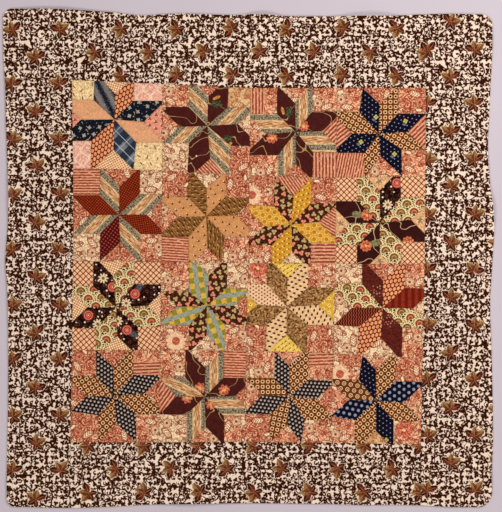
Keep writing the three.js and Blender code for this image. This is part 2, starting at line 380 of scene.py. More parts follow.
signs = {"add": "ADD", "sub": "SUBTRACT", "mul": "MULTIPLY", "truediv": "DIVIDE", "mod": "FLOORED_MODULO",
         "pow": "POWER"}
for sign, operation in signs.items():
    setattr(Amount, f"__{sign}__", reckon(operation, False))
    setattr(Amount, f"__r{sign}__", reckon(operation, True))


class Drawing:  # puts nodes in a material or a node group
    def __init__(self, tree):
        self.tree = tree

    def node(self, kind, inputs=None, **settings):
        made = self.tree.nodes.new(kind)
        for name, value in settings.items():
            setattr(made, name, value)
        for name, value in (inputs or {}).items():
            self.feed(made.inputs[name], value)
        return made

    def take(self, made, output=0):
        return Amount(self, made.outputs[output])

    def feed(self, socket, value):
        if isinstance(value, Amount):
            self.tree.links.new(value.socket, socket)
        elif isinstance(value, bpy.types.NodeSocket):
            self.tree.links.new(value, socket)
        elif value is not None:
            socket.default_value = value

    def calc(self, operation, first, second=None, third=None):
        made = self.node("ShaderNodeMath", operation=operation)
        for socket, value in zip(made.inputs, (first, second, third)):
            self.feed(socket, value)
        return self.take(made)

    def vector(self, operation, first, second=None, scale=None):
        made = self.node("ShaderNodeVectorMath", operation=operation)
        self.feed(made.inputs[0], first)
        self.feed(made.inputs[1], second)
        if scale is not None:
            self.feed(made.inputs["Scale"], scale)
        return self.take(made, "Value" if operation in ("LENGTH", "DOT_PRODUCT") else "Vector")

    def split(self, vector):
        made = self.node("ShaderNodeSeparateXYZ", {"Vector": vector})
        return self.take(made), self.take(made, 1)

    def join(self, x, y):
        return self.take(self.node("ShaderNodeCombineXYZ", {"X": x, "Y": y}))

    def mix(self, share, first, second):
        made = self.node("ShaderNodeMix", data_type="RGBA")
        self.feed(made.inputs["Factor"], share)
        self.feed(made.inputs[6], first)
        self.feed(made.inputs[7], second)
        return self.take(made, 2)

    def step(self, value, low, high):
        made = self.node("ShaderNodeMapRange", {"Value": value, "From Min": low, "From Max": high},
                         interpolation_type="SMOOTHSTEP")
        return self.take(made)

    def inside(self, distance, soft=0.0002):
        return self.step(distance, soft, -soft)

    def edges(self, place, spacing, randomness):  # how far from the edges of scattered cells, in cell widths
        found = self.node("ShaderNodeTexVoronoi",
                          {"Vector": place, "Scale": 1 / spacing, "Randomness": randomness},
                          feature="DISTANCE_TO_EDGE", voronoi_dimensions="2D")
        return self.take(found, "Distance")

    def noise(self, vector, size, detail=2.0, distortion=0.0, roughness=0.5):
        made = self.node("ShaderNodeTexNoise", {"Vector": vector, "Scale": 1 / size, "Detail": detail,
                                                "Distortion": distortion, "Roughness": roughness})
        return self.take(made, "Fac")

    def moved(self, vector, x, y):
        return self.vector("ADD", vector, (x, y, 0.0))

    def swayed(self, vector, at, size, detail, reach):  # pushed about by a soft noise
        made = self.node("ShaderNodeTexNoise", {"Vector": at, "Scale": 1 / size, "Detail": detail})
        push = self.vector("SUBTRACT", self.take(made, "Color"), (0.5, 0.5, 0.5))
        return self.vector("ADD", vector, self.vector("SCALE", push, None, reach))

    def turned(self, vector, angle):  # by a number of degrees, or by an amount in radians
        angle = angle if isinstance(angle, Amount) else math.radians(angle)
        made = self.node("ShaderNodeVectorRotate", {"Vector": vector, "Angle": angle}, rotation_type="Z_AXIS")
        return self.take(made)

    def use(self, name, **inputs):
        made = self.node("ShaderNodeGroup", node_tree=bpy.data.node_groups[name])
        for label, value in inputs.items():
            self.feed(made.inputs[label], value)
        return {socket.name: Amount(self, socket) for socket in made.outputs}

    def blossom(self, local, size, petals, depth, heartSize, **others):
        return self.use("blossom", local=local, size=size, petals=petals, depth=depth, heartSize=heartSize,
                        **others)

    def stems(self, cloth, size, width):
        return self.use("stems", cloth=cloth, size=size, width=width)["stems"]

    def chintz(self, cloth, pale, red):
        return self.use("chintz", cloth=cloth, pale=pale, red=red)["colour"]

    def cells(self, cloth, across, along, halfDrop=1.0, jitter=0.0):  # a repeat, usually a half-drop one
        return self.use("repeat", cloth=cloth, across=across, along=along, halfDrop=halfDrop, jitter=jitter)


def startGroup(name, inputs, outputs):
    tree = bpy.data.node_groups.new(name, "ShaderNodeTree")
    kinds = {float: "NodeSocketFloat", tuple: "NodeSocketVector", str: "NodeSocketColor"}
    for label, default in inputs.items():
        socket = tree.interface.new_socket(label, in_out="INPUT", socket_type=kinds[type(default)])
        if not isinstance(default, str):
            socket.default_value = default
    for label, kind in outputs.items():
        tree.interface.new_socket(label, in_out="OUTPUT", socket_type=kinds[kind])
    drawing = Drawing(tree)
    given = {socket.name: Amount(drawing, socket) for socket in drawing.node("NodeGroupInput").outputs}
    result = drawing.node("NodeGroupOutput").inputs
    return drawing, given, result


def makeRepeat():  # a motif's own place in a printed repeat, centred on 0, 0
    d, given, result = startGroup(
        "repeat",
        {"cloth": (0.0, 0.0, 0.0), "across": 0.01, "along": 0.01, "halfDrop": 0.0, "jitter": 0.0},
        {"local": tuple, "key": float, "turn": float},
    )
    x, y = d.split(given["cloth"])
    u = x / given["across"]
    column = d.calc("FLOOR", u + 0.5)
    odd = column % 2.0 * (given["halfDrop"] * 0.5)
    v = y / given["along"] + odd
    row = d.calc("FLOOR", v + 0.5)
    local = d.join((u - column) * given["across"], (v - row) * given["along"])
    chance = d.node("ShaderNodeTexWhiteNoise", {"Vector": d.join(column, row)}, noise_dimensions="2D")
    shove = d.vector("SUBTRACT", chance.outputs["Color"], (0.5, 0.5, 0.5))
    d.feed(result["local"], d.vector("ADD", local, d.vector("SCALE", shove, None, given["jitter"])))
    d.feed(result["key"], chance.outputs["Value"])
    d.feed(result["turn"], d.calc("MULTIPLY", chance.outputs["Value"], 2 * math.pi))


def makeBlossom():  # a round flower: petals and a heart
    d, given, result = startGroup(
        "blossom",
        {"local": (0.0, 0.0, 0.0), "size": 0.004, "petals": 5.0, "depth": 0.35, "turn": 0.0,
         "heartSize": 0.001, "soft": 0.0002},
        {"petals": float, "heart": float},
    )
    x, y = d.split(given["local"])
    far = d.vector("LENGTH", given["local"])
    angle = d.calc("ARCTAN2", y, x) + given["turn"]
    lobe = abs(d.calc("COSINE", angle * (given["petals"] * 0.5)))
    reach = 1.0 - given["depth"] * (1.0 - lobe)
    d.feed(result["petals"], d.inside(far - reach * given["size"], given["soft"]))
    d.feed(result["heart"], d.inside(far - given["heartSize"], 0.0002))


def makeRows():  # evenly spaced printed or woven lines, which run along the cloth
    d, given, result = startGroup(
        "lineRows",
        {"cloth": (0.0, 0.0, 0.0), "angle": 0.0, "pitch": 0.004, "width": 0.0008, "wobble": 0.0},
        {"lines": float},
    )
    turned = d.turned(given["cloth"], given["angle"])
    x, y = d.split(turned)
    waver = d.noise(given["cloth"], 0.006, 1.0) - 0.5
    away = d.calc("PINGPONG", x + waver * given["wobble"], given["pitch"] * 0.5)
    d.feed(result["lines"], d.inside(away - given["width"] * 0.5, 0.0002))


def makeStems():  # thin wandering printed lines
    d, given, result = startGroup(
        "stems",
        {"cloth": (0.0, 0.0, 0.0), "size": 0.012, "width": 0.06},
        {"stems": float},
    )
    made = d.node("ShaderNodeTexNoise",
                  {"Vector": given["cloth"], "Scale": 1.0 / given["size"], "Detail": 0.5, "Distortion": 0.3})
    away = abs(d.calc("SUBTRACT", made.outputs["Fac"], 0.5))
    d.feed(result["stems"], d.step(away, given["width"], given["width"] * 0.45))


def makeLeafLobe():  # one pointed lobe of a printed leaf, from its foot outwards
    d, given, result = startGroup(
        "leafLobe",
        {"local": (0.0, 0.0, 0.0), "angle": 0.0, "length": 0.012, "width": 0.005, "ragged": 0.0},
        {"lobe": float, "halo": float, "rib": float, "side": float, "along": float},
    )
    turned = d.turned(given["local"], given["angle"] * -1.0)
    x, y = d.split(turned)
    along = x / given["length"] * 0.96 + 0.04
    held = d.take(d.node("ShaderNodeClamp", {"Value": along}))
    swell = d.calc("SINE", held * math.pi)
    half = swell ** 0.85 * (given["width"] * 0.5)
    away = (abs(y) - half) * 0.85 + given["ragged"]
    started = d.step(along, 0.0, 0.06)
    d.feed(result["lobe"], d.inside(away, 0.0004) * started)
    nearTip = d.step(along, 1.12, 1.04)
    d.feed(result["halo"], d.inside(away - 0.0008, 0.0004) * (started * nearTip))
    rib = d.inside(abs(y) - 0.0005, 0.0003)
    d.feed(result["rib"], rib * d.step(along, 0.85, 0.6))
    d.feed(result["side"], d.step(y / given["width"], -0.35, 0.35))
    d.feed(result["along"], held)


def makeHook():  # a bent stem with a bud on one end, the small change of the leaf print
    d, given, result = startGroup(
        "hook",
        {"local": (0.0, 0.0, 0.0), "turn": 0.0, "radius": 0.003, "open": 2.2, "thick": 0.0008, "bud": 0.0015,
         "soft": 0.0003},
        {"hook": float},
    )
    turned = d.turned(given["local"], given["turn"])
    x, y = d.split(turned)
    sideways = abs(y)
    angle = d.calc("ARCTAN2", sideways, x)
    ring = abs(d.vector("LENGTH", turned) - given["radius"])
    arc = ring - given["thick"]
    past = d.step(angle, given["open"], given["open"] - 0.25)
    endX = given["radius"] * d.calc("COSINE", given["open"])
    endY = given["radius"] * d.calc("SINE", given["open"])
    toEnd = d.vector("LENGTH", d.vector("SUBTRACT", turned, d.join(endX, endY)))
    bud = d.inside(toEnd - given["bud"], given["soft"])
    d.feed(result["hook"], d.calc("MAXIMUM", d.inside(arc, given["soft"]) * past, bud))


def makeCottonFinish():  # weave, soft fading, thread slubs, painted shade on the weave's thread crossings and painted shade along each sewn seam
    d, given, result = startGroup(
        "cottonFinish",
        {"print": "", "cloth": (0.0, 0.0, 0.0), "mottle": 1.1},
        {"colour": str, "roughness": float, "normal": tuple},
    )
    x, y = d.split(given["cloth"])
    thread = 0.00055
    warp = d.calc("SINE", x * (2 * math.pi / thread))
    weft = d.calc("SINE", y * (2 * math.pi / thread))
    over = warp * weft
    slub = d.noise(d.vector("MULTIPLY", given["cloth"], (1.0, 0.12, 1.0)), 0.0008, 2.0)
    slubAcross = d.noise(d.vector("MULTIPLY", given["cloth"], (0.12, 1.0, 1.0)), 0.0008, 2.0)
    slubs = slub + slubAcross
    fade = d.noise(given["cloth"], 0.022, 3.0)
    grain = d.noise(given["cloth"], 0.0034, 2.0, 0.8)
    # painted shade: the colour is darkened along each seam, where the seam's crease lies in shadow
    seam = d.take(d.node("ShaderNodeAttribute", attribute_name="paintedSeamShade"), "Fac")
    tone = (slubs - 1.0) * 0.5 + (fade - 0.5) * 0.35 + (grain - 0.5) * given["mottle"]
    # over * 0.05 is painted shade of the weave's thread crossings, and seam * 0.22 is painted shade along the
    # seams
    tone = tone + over * 0.05 - seam * 0.22
    shaded = d.vector("SCALE", given["print"], None, tone + 1.0)
    d.feed(result["colour"], shaded)
    d.feed(result["roughness"], 0.82 + (slub - 0.5) * 0.2)
    height = over * 0.00004 + slubs * 0.00012 + d.noise(given["cloth"], 0.006, 3.0) * 0.0006
    bump = d.node("ShaderNodeBump", {"Strength": 0.6, "Distance": 1.0, "Height": height})
    d.feed(result["normal"], bump.outputs[0])


for makeGroup in (makeRepeat, makeBlossom, makeRows, makeStems, makeLeafLobe, makeHook, makeCottonFinish):
    makeGroup()
print("print groups ready")

fabrics = {}


def fabric(make):
    fabrics[make.__name__] = make
    return make


def disc(d, local, radius, soft=0.0003):
    return d.inside(d.vector("LENGTH", local) - radius, soft)


def oval(d, local, halfAcross, halfAlong, degrees=0.0):
    turned = d.turned(local, degrees)
    return d.inside(d.vector("LENGTH", d.vector("DIVIDE", turned, (halfAcross, halfAlong, 1.0))) - 1.0, 0.12)


def crossedLines(d, cloth, pitch, width, degrees=45.0, wobble=0.0):
    rows = [d.use("lineRows", cloth=cloth, angle=math.radians(way), pitch=pitch, width=width, wobble=wobble)
            for way in (degrees, degrees + 90)]
    return d.calc("MAXIMUM", rows[0]["lines"], rows[1]["lines"])


@fabric
def orangeLattice(d, cloth):
    cell = d.cells(d.turned(cloth, 12.0), 0.0059, 0.0094)
    ground = d.mix(d.noise(cloth, 0.004, 2.0), dye(234, 138, 88), dye(255, 178, 128))
    return d.mix(oval(d, cell["local"], 0.0027, 0.0037), dye(92, 20, 0), ground)


@fabric
def navyFloral(d, cloth):
    cell = d.cells(cloth, 0.017, 0.016, jitter=0.003)
    bloom = d.blossom(cell["local"], 0.0040, 4.0, 0.5, 0.0011, turn=cell["turn"])
    twigs = d.stems(cloth, 0.013, 0.026)
    broken = d.step(d.noise(d.moved(cloth, 0.4, 0.1), 0.006, 1.0), 0.5, 0.6)
    colour = d.mix(twigs * broken, dye(18, 24, 36), dye(190, 158, 112))
    small = d.cells(d.moved(cloth, 0.007, 0.003), 0.012, 0.014, jitter=0.006)
    colour = d.mix(disc(d, small["local"], 0.0013), colour, dye(158, 112, 108))
    colour = d.mix(bloom["petals"], colour, dye(168, 160, 150))
    return d.mix(bloom["heart"], colour, dye(226, 190, 140))


@fabric
def plainPeach(d, cloth):
    fine = d.mix(d.noise(cloth, 0.0022, 3.0), dye(206, 136, 92), dye(248, 186, 140))
    return d.mix(d.noise(cloth, 0.012, 3.0) * 0.4, fine, dye(236, 168, 118))


@fabric
def ombreStripe(d, cloth):
    x, y = d.split(cloth)
    wave = d.calc("COSINE", (x + 0.002) * (2 * math.pi / 0.02))
    speck = d.noise(cloth, 0.0021, 2.0)
    share = wave * 0.5 + (speck - 0.5) * 2.6
    return d.mix(d.step(share, 0.45, -0.45), dye(6, 18, 40), dye(132, 124, 116))


@fabric
def bluePlaid(d, cloth):
    x, y = d.split(cloth)
    acrossBar = d.step(d.calc("PINGPONG", x, 0.0135), 0.0052, 0.0066)
    alongBar = d.step(d.calc("PINGPONG", y + 0.004, 0.016), 0.0062, 0.0082)
    speck = d.noise(cloth, 0.0024, 2.0)
    colour = d.mix(acrossBar * 0.9, d.mix(speck, dye(84, 98, 122), dye(150, 146, 140)), dye(20, 34, 52))
    colour = d.mix(alongBar * 0.6, colour, dye(34, 48, 68))
    fine = d.calc("PINGPONG", y + 0.0085, 0.008)
    colour = d.mix(d.step(fine, 0.0009, 0.0003) * 0.7, colour, dye(206, 206, 204))
    fine = d.calc("PINGPONG", x + 0.002, 0.0135)
    return d.mix(d.step(fine, 0.0008, 0.0003) * 0.6, colour, dye(196, 200, 206))


@fabric
def creamTick(d, cloth):
    cell = d.cells(cloth, 0.0175, 0.0165, jitter=0.007)
    leaning = cell["key"] * 2.2 + 0.2
    turned = d.turned(cell["local"], leaning)
    ground = d.mix(d.noise(cloth, 0.003, 3.0), dye(226, 178, 122), dye(255, 226, 170))
    return d.mix(oval(d, turned, 0.0040, 0.0009), ground, dye(78, 40, 26))


@fabric
def pinkOgee(d, cloth):
    x, y = d.split(cloth)
    sway = d.calc("SINE", y * (2 * math.pi / 0.031)) * 0.0062
    bands = []
    for sign in (1.0, -1.0):
        place = x + sway * sign
        away = d.calc("PINGPONG", place + (0.0 if sign > 0 else 0.0125), 0.0125)
        bands.append(d.step(abs(away - 0.0012), 0.0012, 0.0005))
    rings = d.calc("SINE", d.noise(cloth, 0.016, 1.0, 0.4) * (2 * math.pi * 11))
    ground = d.mix(d.step(rings, -0.4, 0.7), dye(226, 158, 132), dye(252, 196, 168))
    return d.mix(d.calc("MAXIMUM", *bands) * 0.85, ground, dye(255, 216, 192))


@fabric
def fineGrid(d, cloth):
    lines = crossedLines(d, cloth, 0.0041, 0.0013, 0)
    return d.mix(lines, dye(255, 230, 182), dye(208, 114, 60))


@fabric
def pinkSprig(d, cloth):
    cell = d.cells(cloth, 0.0115, 0.0125, jitter=0.001)
    ground = d.mix(d.noise(cloth, 0.0035, 3.0), dye(212, 124, 98), dye(255, 178, 148))
    sprig = d.blossom(cell["local"], 0.0034, 3.0, 0.7, 0.0006, turn=0.5)
    colour = d.mix(sprig["petals"], ground, dye(160, 62, 48))
    return d.mix(disc(d, d.moved(cell["local"], 0.003, -0.002), 0.0012), colour, dye(250, 196, 168))


@fabric
def greyStripe(d, cloth):
    x, y = d.split(cloth)
    away = d.calc("PINGPONG", x, 0.013)
    band = d.step(away, 0.0075, 0.0088)
    speck = d.noise(cloth, 0.0028, 2.0)
    grey = d.mix(d.step(speck, 0.42, 0.6), dye(82, 74, 62), dye(178, 158, 124))
    streaks = d.step(d.noise(d.vector("MULTIPLY", cloth, (1.0, 0.16, 1.0)), 0.0021), 0.42, 0.58)
    tan = d.mix(streaks, dye(172, 112, 66), dye(246, 200, 146))
    fine = d.calc("PINGPONG", x, 0.0014)
    pin = d.step(fine, 0.0008, 0.0002) * d.step(away, 0.0052, 0.0046)
    colour = d.mix(pin * 0.7, tan, dye(176, 96, 50))
    dotted = d.step(0.0013 - abs(away - 0.0066), 0.0, 0.0006) * 0.5
    colour = d.mix(dotted, colour, dye(232, 196, 154))
    return d.mix(band, colour, grey)


def maroonGround(d, cloth):
    return d.mix(d.noise(cloth, 0.012, 4.0), dye(58, 20, 18), dye(86, 34, 30))


def paleStem(d, cloth, colour, size=0.03, width=0.011):
    stems = d.stems(cloth, size, width)
    return d.mix(stems * 0.9, colour, dye(196, 156, 96))


@fabric
def maroonStem(d, cloth):
    colour = paleStem(d, cloth, maroonGround(d, cloth))
    cell = d.cells(cloth, 0.07, 0.07, halfDrop=0.0)
    return d.mix(disc(d, cell["local"], 0.0016), colour, dye(238, 222, 200))


@fabric
def maroonBloom(d, cloth):
    colour = paleStem(d, cloth, maroonGround(d, cloth), 0.04, 0.008)
    cell = d.cells(cloth, 0.07, 0.07, halfDrop=0.0)
    bloom = d.blossom(cell["local"], 0.0105, 7.0, 0.3, 0.003)
    shade = d.noise(cloth, 0.004, 3.0)
    petals = d.mix(d.step(shade, 0.4, 0.6), dye(176, 74, 56), dye(238, 142, 104))
    colour = d.mix(bloom["petals"], colour, petals)
    return d.mix(bloom["heart"], colour, dye(244, 176, 88))


@fabric
def maroonLeaf(d, cloth):
    colour = paleStem(d, cloth, maroonGround(d, cloth), 0.045, 0.007)
    cell = d.cells(cloth, 0.07, 0.07, halfDrop=0.0)
    widened = d.vector("MULTIPLY", cell["local"], (0.65, 1.0, 1.0))
    leaf = d.blossom(widened, 0.0075, 5.0, 0.45, 0.001, turn=0.4)
    shade = d.noise(cloth, 0.003, 3.0)
    colour = d.mix(leaf["petals"], colour, d.mix(d.step(shade, 0.4, 0.6), dye(40, 46, 32), dye(92, 96, 62)))
    gold = oval(d, d.moved(cell["local"], 0.0, -0.0115), 0.0075, 0.0028, -25)
    return d.mix(gold, colour, d.mix(d.step(shade, 0.4, 0.6), dye(168, 96, 40), dye(226, 158, 84)))


def pinDots(d, cloth, ground, dotColour, across, along, radius):
    cell = d.cells(cloth, across, along)
    base = d.mix(d.noise(cloth, 0.01, 3.0), ground, dye(24, 18, 34))
    return d.mix(disc(d, cell["local"], radius), base, dotColour)


@fabric
def navyPin(d, cloth):
    colour = pinDots(d, cloth, dye(9, 8, 26), dye(146, 148, 168), 0.0066, 0.0088, 0.00105)
    cell = d.cells(cloth, 0.08, 0.08, halfDrop=0.0)
    flower = d.blossom(cell["local"], 0.0046, 4.0, 0.4, 0.001)
    leaf = oval(d, d.moved(cell["local"], 0.0042, 0.0052), 0.0034, 0.0022, 30)
    colour = d.mix(leaf, colour, dye(104, 112, 132))
    colour = d.mix(flower["petals"], colour, dye(196, 184, 96))
    return d.mix(flower["heart"], colour, dye(112, 96, 40))


@fabric
def foulard(d, cloth):
    cell = d.cells(cloth, 0.0096, 0.0096, halfDrop=0.0)
    ground = d.mix(d.noise(cloth, 0.003, 2.0), dye(76, 30, 2), dye(138, 70, 22))
    x, y = d.split(cell["local"])
    rounded = d.vector("LENGTH", cell["local"]) * 0.55 + d.calc("MAXIMUM", abs(x), abs(y)) * 0.45
    colour = d.mix(d.step(rounded, 0.0037, 0.0031), ground, dye(255, 204, 150))
    inner = d.mix(d.step(cell["key"], 0.45, 0.5), dye(168, 84, 40), dye(70, 26, 6))
    colour = d.mix(d.step(rounded, 0.0023, 0.0018), colour, inner)
    return d.mix(disc(d, cell["local"], 0.0013), colour, dye(36, 10, 4))


@fabric
def redCheck(d, cloth):
    lines = crossedLines(d, cloth, 0.0040, 0.0018, 30)
    ground = d.mix(d.noise(cloth, 0.004, 3.0), dye(150, 40, 14), dye(186, 84, 46))
    return d.mix(lines * 0.9, ground, dye(84, 8, 2))


@fabric
def maroonCheck(d, cloth):
    lines = crossedLines(d, cloth, 0.0056, 0.003, 35)
    return d.mix(lines, dye(158, 72, 62), dye(84, 12, 8))


# The plain spotted prints. A spot has its place in the repeat, its shape with its size, and its dye.
spottedPrints = {
    "ringFoulard": {"pitch": (0.0112, 0.0108), "grain": (0.003, 2.0), "ground": ((72, 30, 6), (126, 68, 26)),
                    "spots": ((None, (disc, 0.0038), (246, 196, 150)), (None, (disc, 0.0025), (112, 52, 22)),
                              (None, (disc, 0.0011), (236, 176, 126)))},
    "navyDot": {"pitch": (0.0088, 0.0118), "grain": (0.01, 3.0), "ground": ((8, 8, 24), (22, 20, 40)),
                "spots": ((None, (disc, 0.0027, 0.0006), (146, 150, 166)),)},
    "tanSprig": {"pitch": (0.0112, 0.0168), "jitter": 0.0015, "grain": (0.0028, 3.0),
                 "ground": ((190, 118, 64), (236, 172, 112)),
                 "spots": ((None, (oval, 0.003, 0.0019, 40), (112, 52, 20)),
                           ((0.0012, -0.001), (disc, 0.0012), (255, 226, 186)))},
    "yellowDot": {"pitch": (0.0084, 0.0098), "grain": (0.004, 3.0),
                  "ground": ((196, 128, 20), (232, 168, 58)),
                  "spots": (((0.0028, 0.0006), (oval, 0.0016, 0.0014), (254, 220, 128)),
                            ((-0.0008, 0.0), (disc, 0.0012), (80, 40, 8)))},
    "creamSpot": {"pitch": (0.0072, 0.0105), "jitter": 0.0008, "grain": (0.0035, 2.0),
                  "ground": ((230, 176, 124), (254, 212, 160)),
                  "spots": ((None, (oval, 0.0029, 0.0017, 20), (72, 32, 10)),)},
    "creamRedDot": {"pitch": (0.0052, 0.0068), "grain": (0.0035, 2.0),
                    "ground": ((236, 184, 138), (255, 216, 170)),
                    "spots": ((None, (disc, 0.0016), (146, 58, 26)),)},
    "yellowTick": {"pitch": (0.0068, 0.0088), "grain": (0.004, 2.0),
                   "ground": ((230, 182, 72), (255, 218, 114)),
                   "spots": ((None, (oval, 0.0027, 0.0009, -45), (136, 84, 20)),)},
}


def spotted(chart):
    def make(d, cloth):
        cell = d.cells(cloth, *chart["pitch"], jitter=chart.get("jitter", 0.0))
        colour = d.mix(d.noise(cloth, *chart["grain"]), *(dye(*shade) for shade in chart["ground"]))
        for place, (shape, *size), ink in chart["spots"]:
            local = d.moved(cell["local"], *place) if place else cell["local"]
            colour = d.mix(shape(d, local, *size), colour, dye(*ink))
        return colour
    return make


fabrics.update({name: spotted(chart) for name, chart in spottedPrints.items()})


@fabric
def roundDot(d, cloth):
    cell = d.cells(cloth, 0.0060, 0.0080)
    colour = d.mix(disc(d, cell["local"], 0.0025), dye(12, 6, 8), dye(126, 108, 100))
    return d.mix(disc(d, d.moved(cell["local"], 0.0004, 0.0004), 0.0013), colour, dye(216, 196, 180))


@fabric
def oliveStripe(d, cloth):
    long = d.noise(d.vector("MULTIPLY", cloth, (1.0, 0.1, 1.0)), 0.0022, 2.0)
    colour = d.mix(d.step(long, 0.35, 0.65), dye(92, 50, 14), dye(164, 112, 60))
    cell = d.cells(cloth, 0.0075, 0.012)
    colour = d.mix(oval(d, cell["local"], 0.0011, 0.0026), colour, dye(70, 32, 8))
    return d.mix(oval(d, d.moved(cell["local"], 0.0024, 0.002), 0.0008, 0.0024), colour, dye(206, 156, 100))


@fabric
def yellowScroll(d, cloth):
    cell = d.cells(cloth, 0.0112, 0.0128)
    bloom = d.blossom(cell["local"], 0.0052, 6.0, 0.22, 0.0034)
    ground = d.mix(d.noise(cloth, 0.0035, 3.0), dye(214, 146, 44), dye(232, 176, 74))
    colour = d.mix(bloom["petals"], ground, dye(252, 212, 122))
    colour = d.mix(disc(d, cell["local"], 0.0039, 0.0005), colour, dye(198, 126, 20))
    return d.mix(disc(d, d.moved(cell["local"], 0.0052, 0.0), 0.0008), colour, dye(124, 76, 20))


@fabric
def brownFloral(d, cloth):
    cell = d.cells(cloth, 0.0126, 0.0112, jitter=0.0034)
    bloom = d.blossom(cell["local"], 0.0050, 3.0, 0.55, 0.0011, turn=cell["turn"])
    pick = d.step(cell["key"], 0.45, 0.55)
    petals = d.mix(pick, dye(232, 140, 112), dye(196, 164, 108))
    ground = d.mix(d.noise(cloth, 0.004, 2.0), dye(38, 8, 2), dye(82, 34, 18))
    twig = d.stems(cloth, 0.007, 0.05)
    colour = d.mix(twig * 0.4, ground, dye(112, 76, 50))
    colour = d.mix(bloom["petals"], colour, petals)
    return d.mix(bloom["heart"], colour, d.mix(pick, dye(176, 76, 58), dye(120, 92, 56)))


@fabric
def peachLattice(d, cloth):
    lines = crossedLines(d, cloth, 0.0074, 0.0018, 45, 0.0006)
    ground = d.mix(d.noise(cloth, 0.004, 2.0), dye(240, 168, 120), dye(255, 218, 172))
    colour = d.mix(lines, ground, dye(158, 76, 42))
    knots = d.cells(d.turned(cloth, 45.0), 0.0074, 0.0074, halfDrop=0.0)
    return d.mix(disc(d, knots["local"], 0.0014), colour, dye(108, 40, 18))


@fabric
def peachSprig(d, cloth):
    cell = d.cells(cloth, 0.026, 0.03, jitter=0.003)
    ground = d.mix(d.noise(cloth, 0.006, 3.0), dye(214, 156, 108), dye(240, 188, 138))
    sprig = d.blossom(cell["local"], 0.0052, 5.0, 0.75, 0.001, turn=cell["turn"])
    dots = d.cells(cloth, 0.006, 0.007)
    colour = d.mix(disc(d, dots["local"], 0.0006) * 0.5, ground, dye(186, 116, 80))
    return d.mix(sprig["petals"], colour, dye(118, 116, 84))


@fabric
def scaleFan(d, cloth):
    pitch, rise, reach, drop = 0.0245, 0.0152, 0.0126, 0.0026
    x, y = d.split(cloth)
    rows = []
    for shift in (0.0, 1.0):
        u = (x + shift * pitch / 2) / pitch
        column = d.calc("ROUND", u)
        fromX = (u - column) * pitch
        fromY = (y + shift * rise) % (2 * rise)
        rows.append((d.node("ShaderNodeCombineXYZ",
                            {"X": fromX, "Y": fromY - drop, "Z": column % 2.0}).outputs[0], fromY))
    evenInFront = d.calc("GREATER_THAN", rows[0][1], rise)
    front = d.mix(evenInFront, rows[1][0], rows[0][0])
    behind = d.mix(evenInFront, rows[0][0], rows[1][0])
    covered = d.calc("LESS_THAN", d.vector("LENGTH", d.vector("MULTIPLY", front, (1.0, 1.0, 0.0))), reach)
    fan = d.node("ShaderNodeSeparateXYZ", {"Vector": d.mix(covered, behind, front)}).outputs
    far = d.vector("LENGTH", d.join(fan[0], fan[1]))
    angle = d.calc("ARCTAN2", fan[1], fan[0])
    cream = d.mix(d.noise(cloth, 0.003, 2.0), dye(232, 198, 136), dye(255, 232, 176))
    rings = d.step(d.calc("PINGPONG", far, 0.0011), 0.0007, 0.0002) * d.step(far, 0.0106, 0.0102)
    colour = d.mix(rings * 0.35, cream, dye(206, 140, 76))
    teeth = d.step(d.calc("SINE", angle * 18.0), -0.3, 0.3)
    teeth = teeth * d.step(abs(far - (reach - 0.0008)), 0.0013, 0.0008)
    colour = d.mix(teeth, colour, dye(48, 24, 6))
    arch = d.inside(far - 0.0081, 0.0004) * d.step(fan[1], -0.0024, -0.0016)
    colour = d.mix(arch, colour, dye(74, 34, 12))
    heart = d.mix(fan[2], d.mix(d.noise(cloth, 0.003), dye(96, 58, 14), dye(168, 120, 56)),
                  d.mix(d.noise(cloth, 0.003), dye(126, 34, 16), dye(196, 84, 56)))
    inner = d.inside(far - 0.0069, 0.0004) * d.step(fan[1], -0.0014, -0.0006)
    colour = d.mix(inner, colour, heart)
    brow = d.step(abs(far - 0.004), 0.0009, 0.0004) * inner
    colour = d.mix(brow * 0.6, colour, dye(236, 190, 136))
    buds = d.cells(cloth, 0.0056, 0.0056, jitter=0.001)
    between = d.mix(disc(d, buds["local"], 0.0023), cream, dye(48, 24, 8))
    return d.mix(d.step(far, reach - 0.0002, reach + 0.0004), colour, between)


@fabric
def blackFloral(d, cloth):
    cell = d.cells(cloth, 0.052, 0.056)
    ground = d.mix(d.step(d.noise(cloth, 0.007, 3.0), 0.4, 0.6), dye(20, 4, 4), dye(50, 22, 14))
    place, turn, number, kind = scattered(d, cloth, 0.0094, (0.5, 0.4), 0.8)
    curls = d.use("hook", local=place, turn=turn, radius=0.0024, open=2.6, thick=0.0005, bud=0.0012)["hook"]
    colour = d.mix(curls * 0.85, ground, d.mix(kind, dye(84, 62, 60), dye(124, 66, 44)))
    dots = disc(d, d.vector("SUBTRACT", place, (0.003, 0.0025, 0.0)), 0.0017) * d.step(number, 0.5, 0.55)
    colour = d.mix(dots, colour, dye(250, 226, 190))
    leaf = oval(d, d.moved(cell["local"], -0.012, 0.008), 0.0085, 0.005, 35)
    green = d.mix(d.step(d.noise(cloth, 0.003), 0.4, 0.6), dye(46, 52, 64), dye(100, 104, 110))
    colour = d.mix(leaf, colour, green)
    bloom = d.blossom(cell["local"], 0.0100, 11.0, 0.12, 0.0014)
    ringed = d.calc("PINGPONG", d.vector("LENGTH", cell["local"]), 0.0018)
    petals = d.mix(d.step(ringed, 0.0004, 0.0012), dye(226, 128, 106), dye(164, 42, 32))
    colour = d.mix(bloom["petals"], colour, petals)
    colour = d.mix(bloom["heart"], colour, dye(250, 206, 150))
    white = d.blossom(d.moved(cell["local"], 0.017, -0.016), 0.0098, 9.0, 0.62, 0.0028)
    pale = d.mix(d.noise(cloth, 0.002), dye(222, 176, 120), dye(255, 238, 200))
    colour = d.mix(white["petals"], colour, pale)
    return d.mix(white["heart"], colour, dye(142, 84, 40))


